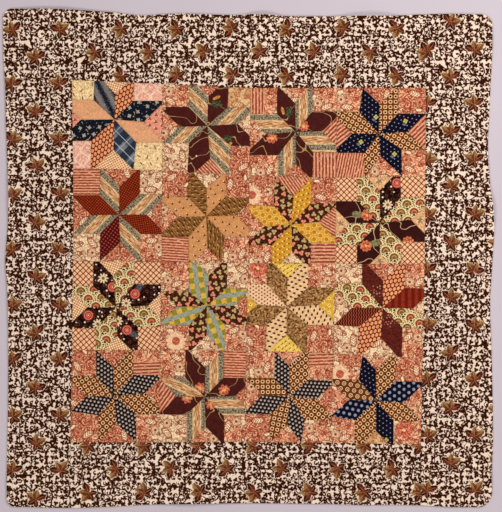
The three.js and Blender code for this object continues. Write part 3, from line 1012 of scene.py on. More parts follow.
@fabric
def darkPosy(d, cloth):
    ground = d.mix(d.noise(cloth, 0.012, 3.0), dye(42, 14, 14), dye(66, 28, 24))
    stems = d.stems(cloth, 0.038, 0.009)
    colour = d.mix(stems * 0.95, ground, dye(228, 178, 138))
    cell = d.cells(cloth, 0.085, 0.085, halfDrop=0.0)
    leaf = oval(d, d.moved(cell["local"], 0.018, -0.001), 0.0095, 0.006, 10)
    green = d.mix(d.step(d.noise(cloth, 0.004), 0.4, 0.6), dye(96, 92, 58), dye(150, 142, 98))
    colour = d.mix(leaf, colour, green)
    bloom = d.blossom(cell["local"], 0.011, 9.0, 0.22, 0.002)
    ringed = d.step(d.noise(cloth, 0.003, 2.0, 1.0), 0.4, 0.6)
    colour = d.mix(bloom["petals"], colour, d.mix(ringed, dye(166, 66, 38), dye(238, 136, 92)))
    return d.mix(bloom["heart"], colour, dye(246, 190, 110))


@fabric
def lightPlaid(d, cloth):
    x, y = d.split(cloth)
    column = d.step(d.calc("PINGPONG", x, 0.0088), 0.0041, 0.0047)
    acrossBar = d.step(d.calc("PINGPONG", y, 0.0098), 0.0045, 0.0053)
    weave = d.noise(cloth, 0.002, 2.0)
    blue = d.mix(weave, dye(130, 138, 122), dye(184, 180, 154))
    marks = d.step(d.noise(d.vector("MULTIPLY", cloth, (1.0, 0.45, 1.0)), 0.0019, 2.0), 0.56, 0.62)
    blue = d.mix(marks * acrossBar * 0.85, blue, dye(62, 66, 74))
    green = d.mix(acrossBar, dye(146, 136, 44), dye(224, 176, 66))
    return d.mix(column, blue, green)


@fabric
def oliveSprig(d, cloth):
    ground = d.mix(d.step(d.noise(cloth, 0.0036, 3.0, 0.6), 0.32, 0.68), dye(74, 38, 10), dye(202, 148, 90))
    dark = d.step(d.noise(cloth, 0.009, 3.0, 0.8), 0.57, 0.63)
    colour = d.mix(dark * 0.85, ground, dye(72, 44, 20))
    cell = d.cells(cloth, 0.04, 0.044, jitter=0.006)
    bloom = d.blossom(cell["local"], 0.0042, 5.0, 0.4, 0.001, turn=cell["turn"])
    return d.mix(bloom["petals"], colour, dye(206, 122, 82))


@fabric
def yellowFloral(d, cloth):
    cell = d.cells(cloth, 0.011, 0.013)
    ground = d.mix(d.noise(cloth, 0.004, 2.0), dye(206, 148, 40), dye(240, 190, 80))
    bloom = d.blossom(cell["local"], 0.004, 5.0, 0.5, 0.0012, turn=cell["turn"])
    colour = d.mix(bloom["petals"], ground, dye(252, 216, 120))
    return d.mix(bloom["heart"], colour, dye(150, 92, 24))


@fabric
def redBrown(d, cloth):
    ground = d.mix(d.noise(cloth, 0.012, 4.0), dye(78, 20, 14), dye(104, 42, 34))
    cell = d.cells(cloth, 0.09, 0.1, halfDrop=0.0)
    small = d.cells(cloth, 0.0058, 0.006, jitter=0.003)
    patch = d.step(d.vector("LENGTH", cell["local"]) + d.noise(cloth, 0.006) * 0.012, 0.019, 0.013)
    return d.mix(disc(d, small["local"], 0.0017) * patch, ground, dye(196, 132, 106))


@fabric
def zigzag(d, cloth):
    x, y = d.split(cloth)
    sway = d.calc("PINGPONG", y, 0.0036) * 0.55
    away = d.calc("PINGPONG", x + sway, 0.0023)
    ground = dye(80, 12, 4)
    return d.mix(d.step(away, 0.0008, 0.0003) * 0.8, ground, dye(196, 108, 80))


@fabric
def redRib(d, cloth):
    x, y = d.split(cloth)
    rib = d.step(d.calc("PINGPONG", x, 0.0062), 0.0016, 0.0046)
    return d.mix(rib, dye(110, 26, 12), d.mix(d.noise(cloth, 0.003), dye(122, 32, 14), dye(152, 58, 36)))


def scattered(d, cloth, spacing, shove, randomness):  # the nearest of many scattered places, and its numbers
    found = d.node("ShaderNodeTexVoronoi", {"Vector": d.moved(cloth, *shove), "Scale": 1 / spacing,
                                            "Randomness": randomness}, feature="F1", voronoi_dimensions="2D")
    local = d.vector("SUBTRACT", d.moved(cloth, *shove), found.outputs["Position"])
    parted = d.node("ShaderNodeSeparateColor", {"Color": found.outputs["Color"]})
    return local, d.take(parted) * (2 * math.pi), d.take(parted, 1), d.take(parted, 2)


def makeChintz():  # the faded red-and-salmon florals and engraved hatching behind the stars
    d, given, result = startGroup(
        "chintz",
        {"cloth": (0.0, 0.0, 0.0), "pale": 0.4, "red": 0.4},
        {"colour": str},
    )
    cloth = given["cloth"]
    shade = d.noise(cloth, 0.0034, 3.0, 0.8)
    salmon = d.mix(d.step(shade, 0.34, 0.62), dye(208, 120, 86), dye(254, 190, 146))
    ink = d.mix(d.noise(cloth, 0.006, 2.0), dye(122, 30, 14), dye(176, 66, 42))
    bright = d.mix(shade, dye(236, 178, 128), dye(255, 238, 196))
    place, turn, number, paleness = scattered(d, cloth, 0.0125, (0.9, 0.15), 0.9)
    x, y = d.split(d.turned(place, turn))
    bowed = x + y * y * 30.0 + d.noise(cloth, 0.008, 1.0) * 0.004
    engraved = d.step(d.calc("SINE", bowed * (2 * math.pi / 0.0047)), -0.2, 0.35)
    where = d.noise(d.moved(cloth, 0.31, 0.17), 0.013, 2.0) + (given["red"] - 0.5) * 0.4
    redShare = d.step(where, 0.4, 0.54)
    colour = d.mix(redShare * 0.12, salmon, ink)
    colour = d.mix(engraved * redShare * 0.85, colour, ink)
    field = d.noise(d.moved(cloth, 0.73, 0.41), 0.02, 2.0, 0.4) + (given["pale"] - 0.5) * 0.4
    colour = d.mix(d.step(field, 0.52, 0.535) * 0.9, colour, ink)
    colour = d.mix(d.step(field, 0.545, 0.56), colour, bright)
    curled = d.swayed(cloth, d.moved(cloth, 0.44, 0.63), 0.019, 0.0, 0.05)
    scrolls = d.edges(curled, 0.017, 1.0)
    shown = d.step(d.noise(d.moved(cloth, 0.15, 0.85), 0.024, 1.0) + given["pale"] * 0.1, 0.56, 0.6)
    colour = d.mix(d.step(scrolls, 0.16, 0.12) * shown * 0.7, colour, ink)
    colour = d.mix(d.step(scrolls, 0.09, 0.06) * shown * 0.9, colour, bright)
    place, turn, number, paleness = scattered(d, cloth, 0.0215, (0.3, 0.6), 0.85)
    x, y = d.split(d.turned(place, turn))
    fill = d.mix(d.step(paleness + given["pale"] * 0.8, 0.8, 0.9), d.mix(0.25, salmon, ink), bright)
    blooms = [d.blossom(place, size, 7.0, 0.25, 0.0024, turn=turn)
              for size in (0.0102, 0.0088)]
    leaves = [d.inside(d.vector("LENGTH", d.join(x / 0.0128, y / 0.006)) - size, 0.05)
              for size in (1.0, 0.82)]
    rays = d.step(d.calc("SINE", d.calc("ARCTAN2", y, x) * 19.0), 0.0, 0.7)
    chevrons = d.calc("SINE", (x + abs(y) * 0.9) * (2 * math.pi / 0.0046))
    leafy = d.step(number, 0.34, 0.36)
    outer = blooms[0]["petals"] * (1.0 - leafy) + leaves[0] * leafy
    inner = blooms[1]["petals"] * (1.0 - leafy) + leaves[1] * leafy
    hatch = rays * (1.0 - leafy) + d.step(chevrons, -0.1, 0.5) * leafy
    colour = d.mix(outer, colour, ink)
    colour = d.mix(inner, colour, fill)
    colour = d.mix(inner * hatch * 0.75, colour, ink)
    heart = blooms[0]["heart"] * (1.0 - leafy)
    colour = d.mix(heart, colour, ink)
    stems = d.stems(d.moved(cloth, 0.2, 0.5), 0.013, 0.03)
    colour = d.mix(stems * 0.7, colour, dye(140, 46, 26))
    d.feed(result["colour"], colour)


makeChintz()


# How pale and how red each of the plainer chintz prints is
chintzShares = {"salmonPrint": (0.45, 0.3), "redPrint": (0.3, 0.7), "creamPrint": (0.92, 0.2),
                "plainSalmon": (0.3, 0.1)}


def chintzOf(pale, red):
    return lambda d, cloth: d.chintz(cloth, pale, red)


fabrics.update({name: chintzOf(*shares) for name, shares in chintzShares.items()})


@fabric
def yellowChintz(d, cloth):
    colour = d.chintz(cloth, 0.75, 0.1)
    return d.mix(0.4, colour, dye(198, 134, 58))


def printedStripes(d, cloth, pitch, ground, ink):
    x, y = d.split(cloth)
    waver = (d.noise(cloth, 0.008, 2.0) - 0.5) * 0.0016
    place = x + waver
    lines = d.step(d.calc("PINGPONG", place, pitch / 2), pitch * 0.14, pitch * 0.3)
    breaks = d.step(d.noise(d.vector("MULTIPLY", cloth, (1.0, 0.3, 1.0)), 0.0035, 2.0), 0.32, 0.45)
    shade = d.noise(cloth, 0.004, 3.0)
    base = d.mix(shade, dye(214, 130, 94), ground)
    return d.mix(lines * breaks * 0.95, base, ink)


@fabric
def redStripe(d, cloth):
    return printedStripes(d, cloth, 0.0062, dye(250, 196, 154), dye(146, 46, 28))


@fabric
def redHatch(d, cloth):
    return printedStripes(d, cloth, 0.0049, dye(250, 192, 150), dye(152, 54, 34))


@fabric
def halfStripe(d, cloth):
    x, y = d.split(cloth)
    stripes = printedStripes(d, cloth, 0.0058, dye(250, 196, 154), dye(150, 50, 30))
    floral = d.chintz(cloth, 0.4, 0.3)
    return d.mix(d.step(x, -0.0006, 0.0006), stripes, floral)


@fabric
def daisyPrint(d, cloth):
    colour = d.chintz(cloth, 0.35, 0.45)
    cell = d.cells(cloth, 0.06, 0.06, halfDrop=0.0)
    bloom = d.blossom(cell["local"], 0.0185, 13.0, 0.2, 0.0075)
    x, y = d.split(cell["local"])
    rays = d.step(d.calc("SINE", d.calc("ARCTAN2", y, x) * 26.0), 0.3, 0.8)
    petals = d.mix(rays * 0.5, dye(250, 208, 164), dye(206, 120, 84))
    colour = d.mix(bloom["petals"], colour, petals)
    heart = d.mix(d.step(d.noise(cloth, 0.0022, 2.0), 0.45, 0.6), dye(180, 74, 52), dye(222, 132, 100))
    return d.mix(bloom["heart"], colour, heart)


@fabric
def redBloom(d, cloth):
    colour = d.chintz(cloth, 0.45, 0.5)
    cell = d.cells(cloth, 0.06, 0.06, halfDrop=0.0)
    bloom = d.blossom(cell["local"], 0.0165, 9.0, 0.16, 0.003)
    shade = d.step(d.noise(cloth, 0.0032, 3.0, 0.8), 0.42, 0.62)
    colour = d.mix(bloom["petals"], colour, d.mix(shade, dye(176, 70, 48), dye(226, 136, 104)))
    return d.mix(bloom["heart"], colour, dye(246, 198, 150))


leafPrint = {
    "across": 0.043,  # between the columns of leaves
    "along": 0.101,  # between the leaves of a column
    "lobes": (  # angle, length and width of each lobe, and whether it is one of the pale upper ones
        (-78, 0.0152, 0.0094, False),
        (218, 0.0172, 0.0100, False),
        (34, 0.0214, 0.0128, False),
        (150, 0.0206, 0.0126, True),
        (90, 0.0184, 0.0112, True),
    ),
}


@fabric
def leafVine(d, cloth):
    cell = d.cells(cloth, leafPrint["across"], leafPrint["along"], jitter=0.003)
    lean = (cell["key"] - 0.5) * 0.9
    leaning = d.turned(cell["local"], lean)
    mirrored = d.calc("GREATER_THAN", cell["key"] * 7.0 % 1.0, 0.5) * 2.0 - 1.0
    leafX, leafY = d.split(leaning)
    local = d.join(leafX * mirrored, leafY + 0.0005)
    cream = d.mix(d.noise(cloth, 0.004, 3.0), dye(240, 203, 180), dye(255, 240, 220))
    bent = d.swayed(cloth, cloth, 0.016, 1.0, 0.02)
    fromVine = d.edges(bent, 0.030, 0.9)
    vines = d.step(fromVine, 0.068, 0.024)
    shown = d.step(d.noise(d.moved(cloth, 0.6, 0.2), 0.016, 1.0), 0.44, 0.48)
    twigs = d.step(d.edges(d.moved(bent, 0.5, 0.3), 0.0145, 0.8), 0.105, 0.005) * shown
    place, turn, number, kind = scattered(d, cloth, 0.0092, (0.37, 0.21), 0.6)
    hooks = d.use("hook", local=place, turn=turn, radius=0.0028, open=number + 1.7, thick=0.00105, bud=0.0023,
                  soft=0.0009)["hook"]
    trefoil = d.use("blossom", local=place, size=0.0047, petals=3.0, depth=0.55, turn=turn,
                    soft=0.0009)["petals"]
    sprigs = d.calc("MAXIMUM", hooks * d.step(kind, 0.5, 0.48), trefoil * d.step(kind, 0.48, 0.5))
    dark = d.calc("MAXIMUM", vines, d.calc("MAXIMUM", sprigs, twigs))
    ragged = (d.noise(cloth, 0.0034, 2.0) - 0.5) * 0.006
    lobes = [d.use("leafLobe", local=local, angle=math.radians(angle), length=length, width=width,
                   ragged=ragged) for angle, length, width, pale in leafPrint["lobes"]]
    halo = lobes[0]["halo"]
    for lobe in lobes[1:]:
        halo = d.calc("MAXIMUM", halo, lobe["halo"])
    dark = dark * (1.0 - halo)
    ink = d.mix(d.noise(cloth, 0.009, 2.0), dye(32, 7, 0), dye(70, 26, 8))
    straw = d.calc("MAXIMUM", lobes[3]["halo"], lobes[4]["halo"])
    cream = d.mix(straw * 0.7, cream, dye(222, 204, 146))
    colour = d.mix(d.step(dark, 0.18, 0.46) * 0.7, cream, dye(160, 96, 60))
    colour = d.mix(d.step(dark, 0.52, 0.68), colour, ink)
    grain = d.noise(cloth, 0.0026, 2.0)
    for lobe, (angle, length, width, pale) in zip(lobes, leafPrint["lobes"]):
        if pale:
            foot, tip, shadow = dye(112, 44, 20), dye(172, 122, 78), dye(80, 34, 14)
        else:
            foot, tip, shadow = dye(124, 50, 26), dye(66, 18, 8), dye(36, 8, 2)
        tone = d.mix(d.step(lobe["along"] + (grain - 0.5) * 2.4, 0.2, 0.8), foot, tip)
        darkSide = d.step(lobe["side"] + grain * 0.9, 0.75, 1.15)
        tone = d.mix(darkSide * 0.65, tone, shadow)
        colour = d.mix(lobe["lobe"], colour, tone)
        colour = d.mix(lobe["rib"] * lobe["lobe"] * 0.35, colour, dye(226, 170, 122))
    return colour


# How strongly the fading of a print is mottled, where it isn't as in the rest
mottling = {"leafVine": 0.25, "salmonPrint": 1.7, "redPrint": 1.7, "creamPrint": 1.7, "redHatch": 1.7,
            "daisyPrint": 1.7, "redBloom": 1.7, "peachSprig": 2.4, "creamTick": 2.4, "redBrown": 3.0,
            "oliveSprig": 1.5, "navyPin": 0.8, "ringFoulard": 0.5, "blackFloral": 0.6}


def makeMaterial(name):
    material = bpy.data.materials.new(name)
    material.use_nodes = True
    d = Drawing(material.node_tree)
    shader = d.tree.nodes["Principled BSDF"]
    cloth = d.node("ShaderNodeUVMap", uv_map="cloth").outputs[0]
    colour = fabrics[name](d, cloth)
    finish = d.use("cottonFinish", **{"print": colour, "cloth": cloth, "mottle": mottling.get(name, 1.1)})
    d.feed(shader.inputs["Base Color"], finish["colour"])
    d.feed(shader.inputs["Roughness"], finish["roughness"])
    d.feed(shader.inputs["Normal"], finish["normal"])
    shader.inputs["Specular IOR Level"].default_value = 0.02
    shader.inputs["Sheen Weight"].default_value = 0.01
    shader.inputs["Sheen Roughness"].default_value = 0.5
    return material


@fabric
def backing(d, cloth):
    return d.mix(d.noise(cloth, 0.03, 4.0), dye(206, 186, 160), dye(226, 206, 180))


materials = {name: makeMaterial(name) for name in fabrics}
print("printed cottons ready:", len(materials))

# The cloth of every patch: its print, then how far the print is turned in degrees, then the photo pixel that
# its main motif sits on. Diamonds and triangles go clockwise from the top, squares from the top left one.
blockPatches = {
    (1, 1): {
        "diamonds": (("ombreStripe", 27), ("orangeLattice", 0), ("navyFloral", 0), ("plainPeach",),
                     ("bluePlaid", -45), ("orangeLattice", 4), ("navyFloral", 30), ("plainPeach",)),
        "squares": (("creamTick", 0), ("pinkOgee", 0, (147, 93)), ("creamTick", 20),
                    ("pinkOgee", 8, (85, 154))),
        "triangles": (("fineGrid", -18), ("pinkSprig", 0), ("fineGrid", 28), ("pinkSprig", 10)),
    },
    (1, 2): {
        "diamonds": (("greyStripe", 45), ("maroonLeaf", 0, (216.5, 104)), ("greyStripe", -45),
                     ("maroonLeaf", 200, (227, 139)), ("greyStripe", 45), ("maroonStem", 40, (196.5, 156)),
                     ("greyStripe", -45), ("maroonStem", 70, (150, 90))),
        "squares": (("salmonPrint", 0), ("yellowChintz", 30), ("redPrint", 70), ("creamPrint", 140)),
        "triangles": (("redPrint", 20), ("creamPrint", 45), ("redHatch", 45), ("salmonPrint", 90)),
    },
    (1, 3): {
        "diamonds": (("maroonLeaf", 80, (289, 112)), ("greyStripe", 0), ("maroonBloom", 0, (303.5, 126)),
                     ("greyStripe", 90), ("maroonStem", 10, (240, 120)), ("greyStripe", 0),
                     ("maroonBloom", 30, (272, 138)), ("greyStripe", 90)),
        "squares": (("halfStripe", 0, (264, 100)), ("salmonPrint", 60), ("redStripe", 0),
                    ("salmonPrint", 100)),
        "triangles": (("salmonPrint", 45), ("redStripe", -45), ("redPrint", 20), ("salmonPrint", 200)),
    },
    (1, 4): {
        "diamonds": (("navyPin", 0, (376, 117)), ("foulard", 0, (390.5, 107)), ("navyPin", 20, (405.5, 121)),
                     ("foulard", -30), ("navyPin", 0, (394.5, 154)), ("foulard", 50),
                     ("navyPin", -10, (361, 142)), ("foulard", -30)),
        "squares": (("salmonPrint", 30), ("redPrint", 200), ("plainSalmon", 10), ("redHatch", -12)),
        "triangles": (("redPrint", 120), ("redStripe", -45), ("salmonPrint", 45), ("redStripe", -52)),
    },
    (2, 1): {
        "diamonds": (("greyStripe", 45), ("redCheck", 0), ("greyStripe", -45), ("redCheck", 40),
                     ("greyStripe", 45), ("maroonCheck", 0), ("greyStripe", -45), ("redCheck", 80)),
        "squares": (("redHatch", 90), ("creamPrint", 40), ("salmonPrint", 220), ("creamPrint", 170)),
        "triangles": (("redPrint", 150), ("redPrint", 300), ("redPrint", 30), ("redPrint", 80)),
    },
    (2, 2): {
        "diamonds": (("oliveStripe", 88), ("tanSprig", -12), ("oliveStripe", 48), ("tanSprig", 20),
                     ("oliveStripe", 2), ("tanSprig", 8), ("oliveStripe", 42), ("tanSprig", -20)),
        "squares": (("redPrint", 250), ("redPrint", 300), ("salmonPrint", 100), ("redHatch", 86)),
        "triangles": (("creamPrint", 320), ("redPrint", 260), ("salmonPrint", 70), ("salmonPrint", 330)),
    },
    (2, 3): {
        "diamonds": (("brownFloral", 0), ("yellowDot", -12), ("brownFloral", 40), ("yellowScroll", 0),
                     ("brownFloral", 80), ("yellowDot", 0), ("brownFloral", 120), ("yellowScroll", 14)),
        "squares": (("daisyPrint", 0, (252, 195)), ("redPrint", 20), ("redStripe", 90), ("salmonPrint", 110)),
        "triangles": (("redHatch", 35), ("redHatch", 60), ("creamPrint", 60), ("plainSalmon", 40)),
    },
    (2, 4): {
        "diamonds": (("scaleFan", 0, (366, 193)), ("blackFloral", 0, (397, 183)), ("scaleFan", 4, (407, 206)),
                     ("darkPosy", 20, (408, 242)), ("scaleFan", 12, (391, 243)),
                     ("darkPosy", 200, (366, 246)), ("scaleFan", 10, (357, 231)),
                     ("darkPosy", 0, (367, 215))),
        "squares": (("peachLattice", 0), ("peachLattice", 4), ("peachLattice", 0), ("peachLattice", 3)),
        "triangles": (("peachSprig", 0), ("peachSprig", 40), ("peachSprig", 80), ("peachSprig", 120)),
    },
    (3, 1): {
        "diamonds": (("blackFloral", 0, (112.5, 287)), ("scaleFan", 0, (118, 276)),
                     ("blackFloral", 90, (135, 294)), ("scaleFan", 8, (144, 316)),
                     ("blackFloral", 0, (127, 330)), ("scaleFan", -30, (104, 331)),
                     ("blackFloral", 180, (60, 300)), ("scaleFan", 6, (81, 293))),
        "squares": (("peachLattice", 0), ("peachLattice", 2), ("peachLattice", 8), ("peachLattice", -4)),
        "triangles": (("fineGrid", -20), ("fineGrid", 30), ("fineGrid", 20), ("fineGrid", 60)),
    },
    (3, 2): {
        "diamonds": (("lightPlaid", 8, (198, 291)), ("brownFloral", 20), ("lightPlaid", -82, (218, 297)),
                     ("brownFloral", 60), ("lightPlaid", 22, (216, 324)), ("brownFloral", 100),
                     ("lightPlaid", -72, (186, 314)), ("brownFloral", 150)),
        "squares": (("salmonPrint", 60), ("creamPrint", 190), ("salmonPrint", 240),
                    ("daisyPrint", 10, (176, 341))),
        "triangles": (("creamPrint", 150), ("redPrint", 320), ("creamPrint", 220), ("redPrint", 170)),
    },
    (3, 3): {
        "diamonds": (("oliveSprig", 0), ("creamSpot", 12), ("oliveSprig", 50), ("creamSpot", 100),
                     ("oliveSprig", 90), ("creamSpot", 16), ("oliveSprig", 140), ("creamRedDot", 0)),
        "squares": (("redBloom", 0, (258, 268)), ("salmonPrint", 170), ("redPrint", 290), ("redPrint", 340)),
        "triangles": (("yellowTick", 0), ("yellowFloral", 0), ("yellowTick", 6), ("yellowFloral", 30)),
    },
    (3, 4): {
        "diamonds": (("redBrown", 0, (377, 291)), ("orangeLattice", -18), ("redRib", 0),
                     ("scaleFan", 20, (402, 314)), ("redBrown", 40, (389, 321)), ("orangeLattice", -16),
                     ("zigzag", 0), ("scaleFan", -10, (352, 299))),
        "squares": (("creamPrint", 10), ("salmonPrint", 80), ("salmonPrint", 260), ("creamPrint", 130)),
        "triangles": (("redPrint", 120), ("creamPrint", 30), ("creamPrint", 250), ("creamPrint", 310)),
    },
    (4, 1): {
        "diamonds": (("roundDot", 0), ("foulard", 45), ("roundDot", 20), ("foulard", -40), ("roundDot", 8),
                     ("foulard", 42), ("roundDot", 24), ("foulard", 32)),
        "squares": (("redPrint", 340), ("halfStripe", 92, (137, 362)), ("salmonPrint", 200),
                    ("redPrint", 70)),
        "triangles": (("redPrint", 250), ("redPrint", 10), ("redPrint", 140), ("redPrint", 20)),
    },
    (4, 2): {
        "diamonds": (("maroonBloom", 0, (200, 388)), ("greyStripe", 0), ("maroonBloom", 60, (224, 390)),
                     ("greyStripe", 90), ("maroonBloom", 120, (211, 404)), ("greyStripe", 0),
                     ("maroonBloom", 200, (187, 398)), ("greyStripe", 65)),
        "squares": (("salmonPrint", 190), ("redHatch", 88), ("salmonPrint", 290), ("creamPrint", 350)),
        "triangles": (("salmonPrint", 50), ("redPrint", 90), ("salmonPrint", 200), ("redStripe", -35)),
    },
    (4, 3): {
        "diamonds": (("roundDot", 0), ("foulard", 42), ("roundDot", 30), ("foulard", -38), ("roundDot", 10),
                     ("foulard", -12), ("roundDot", 26), ("foulard", 0)),
        "squares": (("salmonPrint", 110), ("halfStripe", -88, (320, 366)), ("salmonPrint", 10),
                    ("redPrint", 220)),
        "triangles": (("plainSalmon", 90), ("redPrint", 280), ("plainSalmon", 200), ("salmonPrint", 300)),
    },
    (4, 4): {
        "diamonds": (("navyPin", 6, (340, 340)), ("foulard", 42), ("navyDot", 0), ("foulard", -35),
                     ("navyPin", 0, (430, 440)), ("foulard", 42), ("navyDot", 22), ("ringFoulard", -35)),
        "squares": (("daisyPrint", 0, (340, 374)), ("redPrint", 130), ("redBloom", 30, (404, 430)),
                    ("salmonPrint", 60)),
        "triangles": (("salmonPrint", 280), ("salmonPrint", 100), ("yellowChintz", 20), ("plainSalmon", 0)),
    },
}


def patchList(block):
    return block["diamonds"] + block["squares"] + block["triangles"]


def selectOnly(piece):
    bpy.ops.object.select_all(action="DESELECT")
    piece.select_set(True)
    bpy.context.view_layer.objects.active = piece


def newPiece(name, points, faces):
    mesh = bpy.data.meshes.new(name)
    mesh.from_pydata(points, [], faces)
    mesh.update()
    piece = bpy.data.objects.new(name, mesh)
    bpy.context.scene.collection.objects.link(piece)
    return piece


def giveThickness(piece, seams):
    mesh = piece.data
    count = len(mesh.vertices)
    places = np.zeros(count * 3)
    mesh.vertices.foreach_get("co", places)
    x, y = places[0::3].copy(), places[1::3].copy()
    high, low, paintedShadeNearSeam = sheetHeights(x, y, seams)
    # the weight of the painted seam shade, which the cotton finish reads
    line = mesh.attributes.new("paintedSeamShade", "FLOAT", "POINT")
    line.data.foreach_set("value", paintedShadeNearSeam.astype(np.float32))
    selectOnly(piece)
    solid = piece.modifiers.new("thickness", "SOLIDIFY")
    solid.thickness = cover["thickness"]
    solid.offset = -1
    solid.use_rim = True
    solid.material_offset = len(mesh.materials)
    bpy.ops.object.modifier_apply(modifier="thickness")
    mesh = piece.data
    both = np.stack([np.tile(x, 2), np.tile(y, 2), np.concatenate([high, low])], 1)
    mesh.vertices.foreach_set("co", both.ravel())
    mesh.update()
    bpy.ops.object.shade_smooth_by_angle(angle=math.radians(50))


# The layout of the bake map, from its foot up: the rim, the underside, and the cells of the upper side
bakeMap = {
    "gap": 0.005,
    "span": 0.99,
    "rimTop": 0.02,
    "underFoot": 0.03,
    "underRise": 0.1,
    "upperFoot": 0.15,
    "blockStep": (0.5, 0.425),
    "blockSize": (0.485, 0.415),
    "sideThird": (0.332, 0.322),  # step and width of a third of a side strip
    "endThird": (0.283, 0.275),
}


def makeBakeMap(piece, topFaces, cellOf, cells, box):
    mesh = piece.data
    layer = mesh.uv_layers.new(name="OFBake")
    coords = np.zeros(len(mesh.loops) * 2)
    lowX, lowY, highX, highY = box
    gap, span = bakeMap["gap"], bakeMap["span"]
    rim = 0
    rimCount = len(mesh.polygons) - 2 * topFaces
    for face in mesh.polygons:
        for k, loop in enumerate(face.loop_indices):
            x, y, _ = mesh.vertices[mesh.loops[loop].vertex_index].co
            if face.index < topFaces:
                cellLowX, cellLowY, cellHighX, cellHighY, u0, v0, u1, v1 = cells[cellOf(face.index)]
                u = u0 + (u1 - u0) * (x - cellLowX) / (cellHighX - cellLowX)
                v = v0 + (v1 - v0) * (y - cellLowY) / (cellHighY - cellLowY)
            elif face.index < 2 * topFaces:
                u = gap + span * (x - lowX) / (highX - lowX)
                v = bakeMap["underFoot"] + bakeMap["underRise"] * (y - lowY) / (highY - lowY)
            else:
                u = gap + span * (rim + (0.1, 0.9, 0.9, 0.1)[k]) / rimCount
                v = (gap, gap, bakeMap["rimTop"], bakeMap["rimTop"])[k]
            coords[2 * loop] = u
            coords[2 * loop + 1] = v
        if face.index >= 2 * topFaces:
            rim += 1
    layer.data.foreach_set("uv", coords)


def makeStarRow(row):
    points, faces, patches, places = [], [], [], []
    for column in range(1, 5):
        known = {}
        centres = {}
        for patch, shape in starFaces(row, column)[0]:
            shape = facingUp(list(shape))
            if patch not in centres or len(shape) > 3:
                centres[patch] = tuple(sum(c[axis] for c in shape) / len(shape) for axis in (0, 1))
            face = []
            for x, y in shape:
                key = (round(x, 6), round(y, 6))
                if key not in known:
                    known[key] = len(points)
                    points.append((x, y, 0.0))
                face.append(known[key])
            faces.append(face)
            patches.append(len(places) + patch)
        for patch, given in enumerate(patchList(blockPatches[(row, column)])):
            name, angle, at = (*given, None, None)[:3]
            places.append((name, math.radians(angle or 0), fromPixel(at) if at else centres[patch]))
    piece = newPiece(f"star_row_{row}", points, faces)
    mesh = piece.data
    patchOf = mesh.attributes.new("patch", "INT", "FACE")
    patchOf.data.foreach_set("value", patches)
    selectOnly(piece)
    bpy.ops.object.mode_set(mode="EDIT")
    bpy.ops.mesh.select_all(action="SELECT")
    bpy.ops.mesh.subdivide(number_cuts=patchwork["cuts"])
    bpy.ops.object.mode_set(mode="OBJECT")
    mesh = piece.data
    names = sorted({place[0] for place in places})
    for name in [*names, "backing"]:
        mesh.materials.append(materials[name])
    patchOf = np.zeros(len(mesh.polygons), int)
    mesh.attributes["patch"].data.foreach_get("value", patchOf)
    layer = mesh.uv_layers.new(name="cloth")
    coords = np.zeros(len(mesh.loops) * 2)
    for face in mesh.polygons:
        name, angle, (originX, originY) = places[patchOf[face.index]]
        face.material_index = names.index(name)
        cosine, sine = math.cos(angle), math.sin(angle)
        for loop in face.loop_indices:
            x, y, _ = mesh.vertices[mesh.loops[loop].vertex_index].co
            x, y = x - originX, y - originY
            coords[2 * loop] = x * cosine + y * sine
            coords[2 * loop + 1] = y * cosine - x * sine
    layer.data.foreach_set("uv", coords)
    topFaces = len(mesh.polygons)
    giveThickness(piece, coverSeams)
    cells = []
    for column in range(4):
        around = [seamCrossing(row - 1 + down, column + right) for down in (0, 1) for right in (0, 1)]
        xs, ys = [place[0] for place in around], [place[1] for place in around]
        u = bakeMap["gap"] + bakeMap["blockStep"][0] * (column % 2)
        v = bakeMap["upperFoot"] + bakeMap["blockStep"][1] * (column // 2)
        wide, high = bakeMap["blockSize"]
        cells.append((min(xs), min(ys), max(xs), max(ys), u, v, u + wide, v + high))
    low = [min(place[axis] for place in cells) for axis in (0, 1)]
    high = [max(place[axis + 2] for place in cells) for axis in (0, 1)]
    makeBakeMap(piece, topFaces, lambda face: patchOf[face] // patchwork["patches"], cells, (*low, *high))
    print(piece.name, "faces", len(piece.data.polygons))
    return piece


border = {
    "edgeSteps": (0, 0.15, 0.45, 0.9, 1.5, 2.5, 4, 5.5, 7, 8, 9, 10.5, 12.5),  # mm in from the outer edge
    "cell": 0.0021,
    "blockSteps": 76,  # of the mesh along each block
    "width": 0.125,  # a strip's usual width, by which the steps are shared out
    "printOrigins": {"left": (36, 223), "right": (451, 243), "top": (260, 52), "bottom": (227, 469)},
}


def brokenLine(places):
    places = np.array(places, float)
    return lambda share: np.array([np.interp(share * (len(places) - 1), range(len(places)), places[:, axis])
                                   for axis in (0, 1)])


def edgeLine(pointAt, places):
    return lambda share: pointAt(np.interp(share * (len(places) - 1), range(len(places)), places))


def between(left, right, bottom, top, u, v):
    low = (1 - u) * bottom(u * 0) + u * bottom(u * 0 + 1)
    high = (1 - u) * top(u * 0) + u * top(u * 0 + 1)
    return (1 - u) * left(v) + u * right(v) + (1 - v) * (bottom(u) - low) + v * (top(u) - high)


